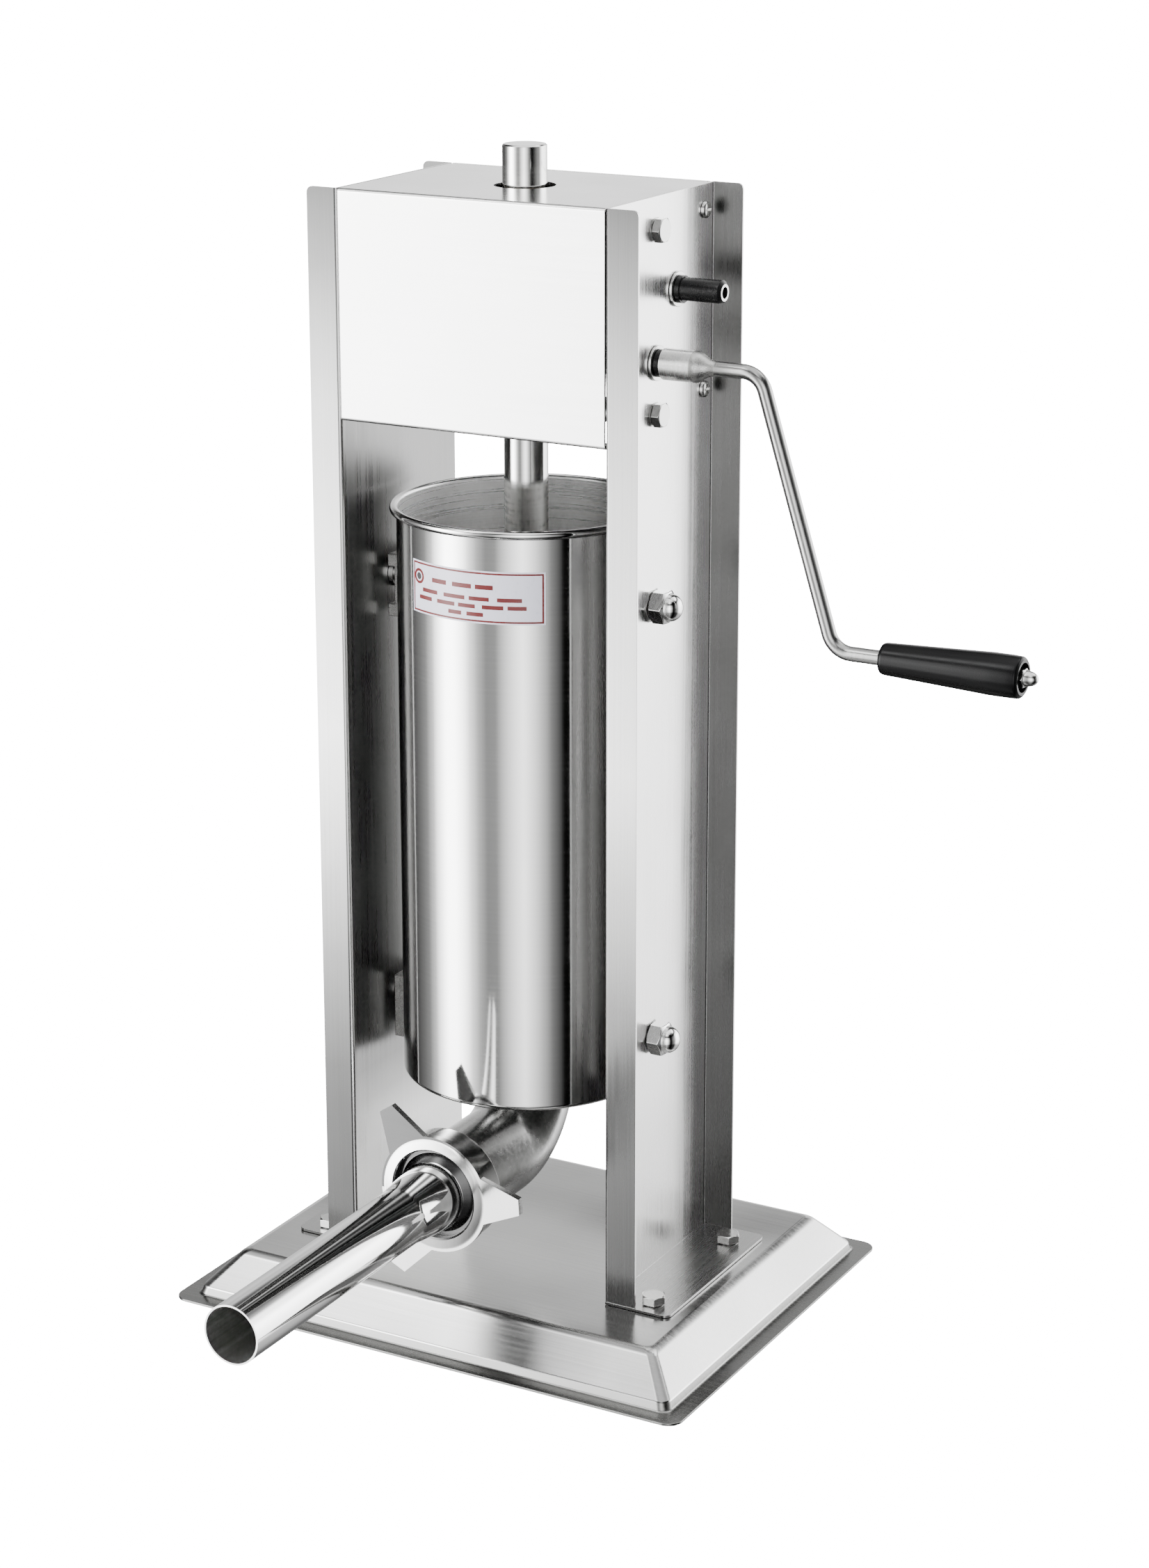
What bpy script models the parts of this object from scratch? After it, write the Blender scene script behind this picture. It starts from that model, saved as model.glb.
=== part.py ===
"""Two-speed vertical sausage stuffer of about five litres, at its real size.

Metres, +Z up. The design is laid out around the cylinder's axis, and one empty, machine_frame, carries
it so that the origin of the file lies at the bottom centre of the whole machine's box. The outlet looks
along -Y and the crank is on the +X side. The rack bar stands at its lowest point.
"""

import math

import bmesh
import bpy
from mathutils import Matrix, Vector

# ---- driving dimensions --------------------------------------------------------------------------
AXIS = (-0.0732, 0.0880)          # cylinder axis, from the centre of the machine's box
GAP = 0.0003                      # between pieces that touch
SHEET = 0.0015                    # side plates and covers

BASE_SIZE = (0.340, 0.2716)       # outer edge of the brim
BASE_SHIFT = (-0.002, 0.004)      # centre of the base from the cylinder axis
DECK_SIZE = (0.2788, 0.2108)      # flat top of the base
SLOPE_FOOT = (0.3190, 0.2500)     # where the slopes meet the brim
DECK_TOP = 0.027

PLATE_IN = 0.085                  # inner face of each side plate
PLATE_FRONT = -0.062
PLATE_REAR = 0.064
PLATE_TOP = 0.664
FLANGE = 0.0200                   # width of the plate's front and rear flanges
FOOT_REACH = 0.1270
BEND = 0.0022                     # outer radius of a sheet bend
PLATE_BOTTOM = DECK_TOP + GAP
HOUSING_BOTTOM = 0.5325

BORE_R = 0.0737
WALL = 0.0010
RIM_Z = 0.4827
RIM_R = 0.0785
TANK_Z = 0.1380
OUTLET_R = 0.0252                 # inside of the outlet elbow

ROD_R = 0.01275
ROD_TOP = 0.6870
RACK_FLAT = 0.0107                # the rack's toothed flat, behind the axis
RACK_RANGE = (0.2560, 0.6300)     # height of the toothed stretch at rest
PISTON_Z = (0.1412, 0.1630)
PISTON_R = 0.0726

TOOTH_MODULE = 0.0015
PRESSURE = math.radians(20)
BACKLASH = 0.00022                # taken off each tooth's thickness
RACK_TEETH = 12                   # teeth of the pinion that lifts the rack
LARGE_TEETH = 46
SMALL_TEETH = 14
SHAFT_R = 0.0070
FAST = (0.0185, 0.60955)          # (y, z) of the upper, fast shaft
SLOW = (-0.0060, 0.57180)         # (y, z) of the lower, slow shaft
FAST_END = 0.1164
SLOW_END = 0.1120

COLUMN_Y = -0.0060                # frame bolts, cylinder pins and slow shaft share this line
UPPER_BAR_Z = 0.6455
LOWER_BAR_Z = 0.5427
UPPER_PIN_Z = 0.4332
LOWER_PIN_Z = 0.1740
PIN_R = 0.0060
SCREW_Y = 0.0515
SCREW_Z = (0.6495, 0.5475)
BASE_BOLT_X = 0.1110
BASE_BOLT_Y = (-0.0500, 0.0460)

OUTLET_Z = 0.0967
ELBOW_R = 0.0410
ELBOW_OUT = 0.0270
ELBOW_END = -0.1035
NUT_FRONT = -0.1120
NOZZLE_END = -0.3160

CRANK_ROD_R = 0.0042
CRANK_TURN = 0.1506               # where the crank's arm leaves the shaft line
ARM_END = (0.1976, 0.4210)        # (x, z) where the arm meets the grip line
GRIP_X = (0.2273, 0.3093)

WHOLE_TURN = 2 * math.pi

# ---- scene ---------------------------------------------------------------------------------------
for old in list(bpy.data.objects):
    bpy.data.objects.remove(old, do_unlink=True)


def material(name, colour, roughness, metallic):
    made = bpy.data.materials.new(name)
    made.use_nodes = True
    shader = made.node_tree.nodes["Principled BSDF"]
    shader.inputs["Base Color"].default_value = (*colour, 1)
    shader.inputs["Roughness"].default_value = roughness
    shader.inputs["Metallic"].default_value = metallic
    return made


BRUSHED = ("brushed_steel", (0.66, 0.66, 0.65), 0.34, 1.0)
POLISHED = ("polished_steel", (0.80, 0.80, 0.79), 0.10, 1.0)
PLATED = ("plated_steel", (0.70, 0.70, 0.69), 0.24, 1.0)
BLACK_STEEL = ("black_steel", (0.035, 0.035, 0.037), 0.38, 0.7)
GEAR_STEEL = ("gear_steel", (0.42, 0.42, 0.43), 0.40, 1.0)
BRONZE = ("bronze", (0.62, 0.44, 0.22), 0.42, 1.0)
RUBBER = ("silicone", (0.78, 0.77, 0.73), 0.55, 0.0)
PLASTIC = ("black_plastic", (0.018, 0.018, 0.019), 0.32, 0.0)

frame = bpy.data.objects.new("machine_frame", None)
frame.location = (AXIS[0], AXIS[1], 0)
bpy.context.scene.collection.objects.link(frame)


def add(name, mesh_data, finish, parent=None, smooth=True):
    """Link one solid, under the machine's frame or a moving part's empty, with its own material."""
    mesh_data.materials.append(material(f"{name}_{finish[0]}", *finish[1:]))
    if smooth:
        mesh_data.shade_smooth()
        mesh_data.set_sharp_from_angle(angle=math.radians(35))
    obj = bpy.data.objects.new(name, mesh_data)
    bpy.context.scene.collection.objects.link(obj)
    obj.parent = parent or frame
    if parent:
        obj.location = -parent.location
    return obj


def pivot(name, spot):
    """An empty on a joint's axis; its children are drawn around it in the machine's own coordinates."""
    empty = bpy.data.objects.new(name, None)
    empty.location = spot
    empty.parent = frame
    bpy.context.scene.collection.objects.link(empty)
    return empty


# ---- shapes --------------------------------------------------------------------------------------
def loft(rings, closed=False):
    """Skin a list of rings that have equal point counts; the ends are capped unless it is closed."""
    bm = bmesh.new()
    rows = [[bm.verts.new(point) for point in ring] for ring in rings]
    pairs = list(zip(rows, rows[1:]))
    if closed:
        pairs.append((rows[-1], rows[0]))
    count = len(rows[0])
    for low, high in pairs:
        for i in range(count):
            j = (i + 1) % count
            bm.faces.new((low[i], low[j], high[j], high[i]))
    if not closed:
        bm.faces.new(list(reversed(rows[0])))
        bm.faces.new(rows[-1])
    bmesh.ops.recalc_face_normals(bm, faces=bm.faces)
    if bm.calc_volume(signed=True) < 0:
        bmesh.ops.reverse_faces(bm, faces=bm.faces)
    made = bpy.data.meshes.new("solid")
    bm.to_mesh(made)
    bm.free()
    return made


def place(axis, u, v, along, centre):
    """A point given across (u, v) and along a turning axis, which runs through centre."""
    if axis == "X":
        return (centre[0] + along, centre[1] + u, centre[2] + v)
    if axis == "Y":
        return (centre[0] + u, centre[1] + along, centre[2] + v)
    return (centre[0] + u, centre[1] + v, centre[2] + along)


def circle(radius, along, axis="Z", centre=(0, 0, 0), sides=24):
    """One ring of points around an axis."""
    turns = [WHOLE_TURN * i / sides for i in range(sides)]
    return [place(axis, radius * math.cos(t), radius * math.sin(t), along, centre) for t in turns]


def turned(profile, axis="Z", centre=(0, 0, 0), sides=24, hollow=False):
    """A turned piece from (radius, height along the axis) pairs; a hollow one's profile closes on itself."""
    return loft([circle(r, h, axis, centre, sides) for r, h in profile], closed=hollow)


def extruded(outline, start, end, axis):
    """A prism: the outline's (u, v) pairs swept along an axis."""
    ends = (start, end)
    return loft([[place(axis, u, v, along, (0, 0, 0)) for u, v in outline] for along in ends])


def block(low, high):
    outline = [(low[0], low[1]), (high[0], low[1]), (high[0], high[1]), (low[0], high[1])]
    return extruded(outline, low[2], high[2], "Z")


def rounded(path, radius, steps=3):
    """Round every inner corner of an open path of 2-D points."""
    points = [Vector(p) for p in path]
    out = [points[0]]
    for before, corner, after in zip(points, points[1:], points[2:]):
        a = (before - corner).normalized()
        b = (after - corner).normalized()
        half = a.angle(b) / 2
        reach = radius / math.tan(half)
        middle = corner + (a + b).normalized() * radius / math.sin(half)
        start = corner + a * reach - middle
        end = corner + b * reach - middle
        sweep = start.angle_signed(end)
        for i in range(steps + 1):
            out.append(middle + Matrix.Rotation(-sweep * i / steps, 2) @ start)
    out.append(points[-1])
    return out


def folded(path, thickness, radius=BEND):
    """The outline of a folded sheet: its outer path, and the same path moved in by the thickness."""
    outer = rounded(path, radius)
    inner = []
    for i, point in enumerate(outer):
        before = (point - outer[i - 1]).normalized() if i else None
        after = (outer[i + 1] - point).normalized() if i + 1 < len(outer) else None
        along = ((before or after) + (after or before)).normalized()
        normal = Vector((-along.y, along.x))
        shrink = normal.dot(Vector((-(before or after).y, (before or after).x)))
        inner.append(point + normal * thickness / shrink)
    return [tuple(p) for p in outer] + [tuple(p) for p in reversed(inner)]


def joined(meshes):
    """Several closed bodies in one mesh, for a cutter."""
    bm = bmesh.new()
    for piece in meshes:
        bm.from_mesh(piece)
    made = bpy.data.meshes.new("bodies")
    bm.to_mesh(made)
    bm.free()
    return made


def helper(mesh_data, name, target):
    """A hidden cutter or addition that follows its target's own placing."""
    obj = bpy.data.objects.new(name, mesh_data)
    bpy.context.scene.collection.objects.link(obj)
    obj.parent = target.parent
    obj.location = target.location
    obj.hide_render = True
    obj.display_type = "WIRE"
    return obj


def boolean(target, mesh_data, operation, name):
    step = target.modifiers.new(name, "BOOLEAN")
    step.operation = operation
    step.object = helper(mesh_data, f"{target.name}_{name}", target)


def cut(target, *meshes, name="holes"):
    boolean(target, joined(meshes), "DIFFERENCE", name)


def unite(target, mesh_data, name):
    boolean(target, mesh_data, "UNION", name)


def hole(axis, centre, radius, start, end, sides=20):
    return turned([(radius, start), (radius, end)], axis, centre, sides)


def hexagon(across_flats, along, axis, centre, sides=12):
    """A ring of points on a hexagon, with its corners among them."""
    ring = []
    for i in range(sides):
        t = WHOLE_TURN * i / sides
        off = (t + math.pi / 6) % (math.pi / 3) - math.pi / 6
        r = across_flats / 2 / math.cos(math.pi / 6 - abs(off))
        ring.append(place(axis, r * math.cos(t), r * math.sin(t), along, centre))
    return ring


def hex_bolt(axis, seat, side, across_flats, head, shank_r, length):
    """A hexagon bolt: the head stands on side (+1 or -1) of its seat and the shank runs the other way."""
    rings = [
        circle(shank_r * 0.8, -side * length, axis, seat, 12),
        circle(shank_r, -side * (length - shank_r * 0.3), axis, seat, 12),
        circle(shank_r, 0, axis, seat, 12),
        hexagon(across_flats, 0, axis, seat),
        hexagon(across_flats, side * head * 0.82, axis, seat),
        circle(across_flats * 0.46, side * head, axis, seat, 12),
    ]
    return loft(rings)


def cap_nut(axis, seat, side, across_flats, hex_height, height, thread_r, depth):
    """An acorn nut with a blind hole in its seat face."""
    dome_r = across_flats * 0.455
    dome = []
    for i in range(3):
        t = math.pi / 2 * i / 3
        rise = (height - hex_height) * math.sin(t)
        dome.append(circle(dome_r * math.cos(t), side * (hex_height + rise), axis, seat, 12))
    rings = [
        circle(thread_r, side * depth, axis, seat, 12),
        circle(thread_r, 0, axis, seat, 12),
        circle(across_flats * 0.46, 0, axis, seat, 12),
        hexagon(across_flats, side * hex_height * 0.1, axis, seat),
        hexagon(across_flats, side * hex_height, axis, seat),
        *dome,
        circle(dome_r * 0.12, side * height, axis, seat, 12),
    ]
    return loft(rings)


def pan_screw(axis, seat, side, head_r, head, shank_r, length):
    rings = [(shank_r, -side * length), (shank_r, 0), (head_r, 0)]
    rings += [(head_r, side * head * 0.45), (head_r * 0.8, side * head * 0.85), (head_r * 0.4, side * head)]
    return turned(rings, axis, seat, 10)


def rounded_rectangle(width, depth, radius, z, centre=(0, 0), steps=4):
    ring = []
    for quarter in range(4):
        turn = math.pi / 2 * quarter
        sign_x = 1 if quarter in (0, 3) else -1
        sign_y = 1 if quarter in (0, 1) else -1
        middle_x = centre[0] + sign_x * (width / 2 - radius)
        middle_y = centre[1] + sign_y * (depth / 2 - radius)
        for i in range(steps + 1):
            t = turn + math.pi / 2 * i / steps
            ring.append((middle_x + radius * math.cos(t), middle_y + radius * math.sin(t), z))
    return ring


# ---- gear teeth ----------------------------------------------------------------------------------
ADDENDUM = 0.8 * TOOTH_MODULE
DEDENDUM = 1.25 * TOOTH_MODULE


def involute(angle):
    return math.tan(angle) - angle


def gear_outline(teeth, tooth_at, centre):
    """A spur gear in the Y-Z plane, with the middle of one tooth at the angle tooth_at."""
    pitch_r = teeth * TOOTH_MODULE / 2
    base_r = pitch_r * math.cos(PRESSURE)
    root_r = pitch_r - DEDENDUM
    tip_r = pitch_r + ADDENDUM
    half_pitch = (math.pi * TOOTH_MODULE / 2 - BACKLASH) / (2 * pitch_r)

    def half_width(r):
        reached = math.acos(min(1.0, base_r / r)) if r > base_r else 0.0
        return half_pitch + involute(PRESSURE) - involute(reached)

    radii = [root_r, pitch_r, tip_r]
    flank = [(-half_width(r), r) for r in radii] + [(half_width(r), r) for r in reversed(radii)]
    outline = []
    for k in range(teeth):
        middle = tooth_at + WHOLE_TURN * k / teeth
        for t, r in flank:
            outline.append((centre[0] + r * math.cos(middle + t), centre[1] + r * math.sin(middle + t)))
    return outline


def rack_cutter(gap_z, low, high):
    """The comb that cuts the rack: everything behind the toothed flat, and the gaps between teeth."""
    pitch = math.pi * TOOTH_MODULE
    line = RACK_FLAT - ADDENDUM
    half_gap = (pitch / 2 + BACKLASH) / 2
    slope = math.tan(PRESSURE)
    first = math.ceil((low - gap_z) / pitch + 0.5)
    last = math.floor((high - gap_z) / pitch - 0.5)
    outline = [(RACK_FLAT, low)]
    for k in range(first, last + 1):
        middle = gap_z + k * pitch
        mouth = half_gap + ADDENDUM * slope
        floor = half_gap - DEDENDUM * slope
        outline.append((RACK_FLAT, middle - mouth))
        outline.append((line - DEDENDUM, middle - floor))
        outline.append((line - DEDENDUM, middle + floor))
        outline.append((RACK_FLAT, middle + mouth))
    outline += [(RACK_FLAT, high), (ROD_R * 1.5, high), (ROD_R * 1.5, low)]
    return extruded(outline, -ROD_R, ROD_R, "X")


# ---- base ----------------------------------------------------------------------------------------
def base_pan():
    def ring(size, radius, z):
        return rounded_rectangle(size[0], size[1], radius, z, BASE_SHIFT)

    inside = 2 * SHEET
    deck_in = (DECK_SIZE[0] - inside * 0.6, DECK_SIZE[1] - inside * 0.6)
    slope_in = (SLOPE_FOOT[0] - inside, SLOPE_FOOT[1] - inside)
    rings = [
        ring(DECK_SIZE, 0.003, DECK_TOP),
        ring((SLOPE_FOOT[0] - 0.003, SLOPE_FOOT[1] - 0.003), 0.005, SHEET + 0.0030),
        ring((SLOPE_FOOT[0] + 0.001, SLOPE_FOOT[1] + 0.001), 0.006, SHEET),
        ring(BASE_SIZE, 0.009, SHEET),
        ring(BASE_SIZE, 0.009, 0),
        ring(slope_in, 0.004, 0),
        ring(deck_in, 0.002, DECK_TOP - SHEET),
    ]
    pan = add("base_pan", loft(rings), BRUSHED)
    nut_z = (DECK_TOP - SHEET - 0.006, DECK_TOP - SHEET + 0.0004)
    places = [(side * BASE_BOLT_X, y) for side in (-1, 1) for y in BASE_BOLT_Y]
    nuts = []
    holes = []
    for x, y in places:
        nuts.append(loft([hexagon(0.013, z, "Z", (x, y, 0)) for z in nut_z]))
        holes.append(hole("Z", (x, y, 0), 0.0043, DECK_TOP - 0.02, DECK_TOP + 0.01, 12))
    unite(pan, joined(nuts), "weld_nuts")
    cut(pan, *holes)


def base_bolts():
    seat_z = PLATE_BOTTOM + SHEET + GAP
    for side, word in ((-1, "left"), (1, "right")):
        for y, end in zip(BASE_BOLT_Y, ("front", "rear")):
            seat = (side * BASE_BOLT_X, y, seat_z)
            add(f"base_bolt_{word}_{end}", hex_bolt("Z", seat, 1, 0.013, 0.0053, 0.004, 0.014), PLATED)


# ---- side plates ---------------------------------------------------------------------------------
def side_plate(side, word):
    """Web with a front and a rear flange and a foot, all bent outward."""
    reach = PLATE_IN + FLANGE
    path = [
        (side * reach, PLATE_FRONT),
        (side * PLATE_IN, PLATE_FRONT),
        (side * PLATE_IN, PLATE_REAR),
        (side * reach, PLATE_REAR),
    ]
    if side > 0:
        path.reverse()
    outline = folded(path, SHEET)
    plate = add(f"{word}_side_plate", extruded(outline, PLATE_BOTTOM, PLATE_TOP, "Z"), BRUSHED)
    foot = rounded_foot(side)
    unite(plate, extruded(foot, PLATE_BOTTOM, PLATE_BOTTOM + SHEET, "Z"), "foot")
    places = [(COLUMN_Y, z, 0.0043) for z in (UPPER_BAR_Z, LOWER_BAR_Z)]
    places += [(COLUMN_Y, z, PIN_R + GAP) for z in (UPPER_PIN_Z, LOWER_PIN_Z)]
    places += [(SCREW_Y, z, 0.0023) for z in SCREW_Z]
    places += [(*FAST, 0.0090)] + ([(*SLOW, 0.0090)] if side > 0 else [])
    holes = [
        hole("X", (side * PLATE_IN, y, z), r, -side * 0.004, side * 0.006, 12)
        for y, z, r in places
    ]
    for y in BASE_BOLT_Y:
        holes.append(hole("Z", (side * BASE_BOLT_X, y, PLATE_BOTTOM), 0.0043, -0.004, 0.006, 12))
    cut(plate, *holes)


def rounded_foot(side):
    """The foot seen from above, with its two free corners rounded."""
    near = PLATE_IN + SHEET * 0.5
    corner = 0.005
    front = PLATE_FRONT - 0.0005
    rear = PLATE_REAR + 0.0005
    path = [(near, front), (FOOT_REACH, front), (FOOT_REACH, rear), (near, rear)]
    return [(side * p[0], p[1]) for p in rounded(path, corner)]


# ---- gear housing --------------------------------------------------------------------------------
def covers():
    wide = PLATE_IN - 0.0004
    front_path = [
        (0.0618, PLATE_TOP - 0.014),
        (0.0618, PLATE_TOP),
        (PLATE_FRONT, PLATE_TOP),
        (PLATE_FRONT, HOUSING_BOTTOM),
        (PLATE_FRONT + 0.012, HOUSING_BOTTOM),
    ]
    cover = add("front_top_cover", extruded(folded(front_path, SHEET), -wide, wide, "X"), BRUSHED)
    cut(cover, hole("Z", (0, 0, PLATE_TOP), 0.0175, -0.005, 0.005, 28))

    lip = 0.0220
    rear_path = [
        (-wide, PLATE_REAR - lip),
        (-wide, PLATE_REAR),
        (wide, PLATE_REAR),
        (wide, PLATE_REAR - lip),
    ]
    rear_path.reverse()
    outline = folded(rear_path, SHEET)
    rear = add("rear_cover", extruded(outline, HOUSING_BOTTOM, PLATE_TOP, "Z"), BRUSHED)
    out = wide + 0.001
    top_way = block((-out, PLATE_REAR - 0.030, PLATE_TOP - 0.0020), (out, PLATE_REAR - 0.0019, 0.7))
    lip_way = block((-out, PLATE_REAR - 0.0042, PLATE_TOP - 0.0145), (out, PLATE_REAR - 0.0019, 0.7))
    cut(rear, top_way, name="top_way")
    cut(rear, lip_way, name="lip_way")
    holes = []
    for side in (-1, 1):
        for z in SCREW_Z:
            holes.append(hole("X", (side * wide, SCREW_Y, z), 0.0023, -side * 0.004, side * 0.004, 12))
    cut(rear, *holes)
    for side, word in ((-1, "left"), (1, "right")):
        for z, level in zip(SCREW_Z, ("upper", "lower")):
            seat = (side * (PLATE_IN + SHEET + GAP), SCREW_Y, z)
            screw = pan_screw("X", seat, side, 0.0048, 0.0026, 0.0020, 0.010)
            add(f"cover_screw_{word}_{level}", screw, PLATED)


def cross_bar(name, z):
    """A guide block around the rack bar, with a round arm to each side plate."""
    half = 0.0095
    guide = [(-0.026, -0.024), (0.026, -0.024), (0.026, 0.022), (-0.026, 0.022)]
    bar = add(name, extruded(guide, z - half, z + half, "Z"), GEAR_STEEL)
    end = PLATE_IN - GAP
    for side, word in ((-1, "left"), (1, "right")):
        arm = turned([(0.007, side * 0.020), (0.007, side * end)], "X", (0, COLUMN_Y, z), 20)
        unite(bar, arm, f"{word}_arm")
    holes = [hole("Z", (0, 0, z), 0.0163, -0.02, 0.02, 28)]
    for side in (-1, 1):
        holes.append(hole("X", (0, COLUMN_Y, z), 0.0043, side * 0.062, side * 0.09, 12))
    holes.append(hole("X", (0, 0.014, z), 0.0028, 0.0215, 0.030, 12))
    cut(bar, *holes)


def frame_members():
    cross_bar("upper_cross_bar", UPPER_BAR_Z)
    cross_bar("lower_cross_bar", LOWER_BAR_Z)
    for word, z in (("upper", UPPER_BAR_Z), ("lower", LOWER_BAR_Z)):
        profile = [(0.0160, -0.0095), (0.0160, 0.0095), (0.01315, 0.0095), (0.01315, -0.0095)]
        bush = turned(profile, "Z", (0, 0, z), 28, hollow=True)
        add(f"{word}_guide_bush", bush, BRONZE)
        for side, hand in ((-1, "left"), (1, "right")):
            seat = (side * (PLATE_IN + SHEET + GAP), COLUMN_Y, z)
            bolt = hex_bolt("X", seat, side, 0.013, 0.0053, 0.004, 0.020)
            add(f"frame_bolt_{hand}_{word}", bolt, PLATED)
        seat = (0.0306, 0.014, z)
        add(f"bearing_screw_{word}", pan_screw("X", seat, 1, 0.0045, 0.003, 0.0025, 0.0085), PLATED)


def bearing_plate():
    """The inner plate that carries the slow shaft's inner end and steadies the fast shaft."""
    outline = [(-0.020, 0.5335), (0.020, 0.5335), (0.034, 0.585), (0.034, 0.630), (0.022, 0.6550), (-0.020, 0.6550)]
    plate = add("bearing_plate", extruded(outline, 0.0263, 0.0303, "X"), GEAR_STEEL)
    places = [(*FAST, 0.0090), (*SLOW, 0.0090)]
    for z in (UPPER_BAR_Z, LOWER_BAR_Z):
        places += [(COLUMN_Y, z, 0.0073), (0.014, z, 0.0028)]
    cut(plate, *[hole("X", (0, y, z), r, 0.020, 0.036, 12) for y, z, r in places])


def bush(name, place_yz, side, seat_x, length, flange_x, finish):
    """A flanged bush; the flange sits outside seat_x, and the sleeve runs back through the wall."""
    inner = SHAFT_R + GAP
    profile = [
        (0.0087, -side * length),
        (0.0087, 0),
        (0.0100, 0),
        (0.0100, side * flange_x),
        (inner, side * flange_x),
        (inner, -side * length),
    ]
    add(name, turned(profile, "X", (seat_x, *place_yz), 12, hollow=True), finish)


def bushes():
    outside = PLATE_IN + SHEET + GAP
    bush("fast_bush_right", FAST, 1, outside, 0.008, 0.0015, PLATED)
    bush("slow_bush_right", SLOW, 1, outside, 0.008, 0.0015, PLATED)
    bush("fast_bush_left", FAST, -1, -outside, 0.008, 0.0015, PLATED)
    bush("fast_bush_inner", FAST, 1, 0.0306, 0.0046, 0.0012, BRONZE)
    bush("slow_bush_inner", SLOW, 1, 0.0306, 0.0046, 0.0012, BRONZE)


# ---- gear train ----------------------------------------------------------------------------------
def drive_outline(radius, flat, centre, start, end, steps=16):
    """Prism of a circle whose lowest part is cut off flat, for a socket over a shaft's D-shaped end."""
    corner = math.asin(flat / radius)
    outline = []
    for i in range(steps + 1):
        t = -corner + (math.pi + 2 * corner) * i / steps
        outline.append((centre[0] + radius * math.cos(t), centre[1] + radius * math.sin(t)))
    return extruded(outline, start, end, "X")


def shaft(name, place_yz, start, end, finish, empty):
    """A shaft with a collar outside the right-hand bush and a D-shaped outer end."""
    collar = PLATE_IN + SHEET + GAP + 0.0015 + GAP
    profile = [
        (SHAFT_R * 0.9, start),
        (SHAFT_R, start + 0.0006),
        (SHAFT_R, collar),
        (0.0078, collar),
        (0.0078, collar + 0.0026),
        (SHAFT_R - 0.0001, collar + 0.0026),
        (SHAFT_R - 0.0001, end - 0.0012),
        (SHAFT_R * 0.8, end),
    ]
    rod = add(name, turned(profile, "X", (0, *place_yz), 16), finish, empty)
    low = place_yz[1] - 0.0055
    wide = 0.009
    cut(
        rod,
        block((collar + 0.0030, place_yz[0] - wide, low - 0.004), (end + 0.002, place_yz[0] + wide, low)),
        turned([(0.0014, end - 0.004), (0.0014, end + 0.002)], "X", (0, *place_yz), 10),
        name="drive_flat",
    )
    return rod


def gear(name, teeth, tooth_at, place_yz, start, end, hub, empty):
    """A spur gear on a shaft, with a hub towards the middle of the machine."""
    body = add(name, extruded(gear_outline(teeth, tooth_at, place_yz), start, end, "X"), GEAR_STEEL, empty)
    if hub:
        unite(body, hole("X", (0, *place_yz), hub[0], hub[1], start + 0.002, 20), "hub")
    low = hub[1] if hub else start
    cut(body, hole("X", (0, *place_yz), SHAFT_R + GAP, low - 0.004, end + 0.004, 16))
    return body


def gear_train():
    fast = pivot("fast_shaft_axis", (0, *FAST))
    slow = pivot("slow_shaft_axis", (0, *SLOW))
    rod = shaft("fast_shaft", FAST, -PLATE_IN, FAST_END, BLACK_STEEL, fast)
    pinion = extruded(gear_outline(RACK_TEETH, math.pi, FAST), -0.0125, 0.0125, "X")
    unite(rod, pinion, "rack_pinion")
    shaft("slow_shaft", SLOW, 0.0255, SLOW_END, BLACK_STEEL, slow)
    line = math.atan2(SLOW[1] - FAST[1], SLOW[0] - FAST[0])
    gear("large_gear", LARGE_TEETH, line, FAST, 0.042, 0.052, (0.0125, 0.034), fast)
    gap_at = line + math.pi + math.pi / SMALL_TEETH
    gear("small_gear", SMALL_TEETH, gap_at, SLOW, 0.041, 0.053, None, slow)
    return slow


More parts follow.
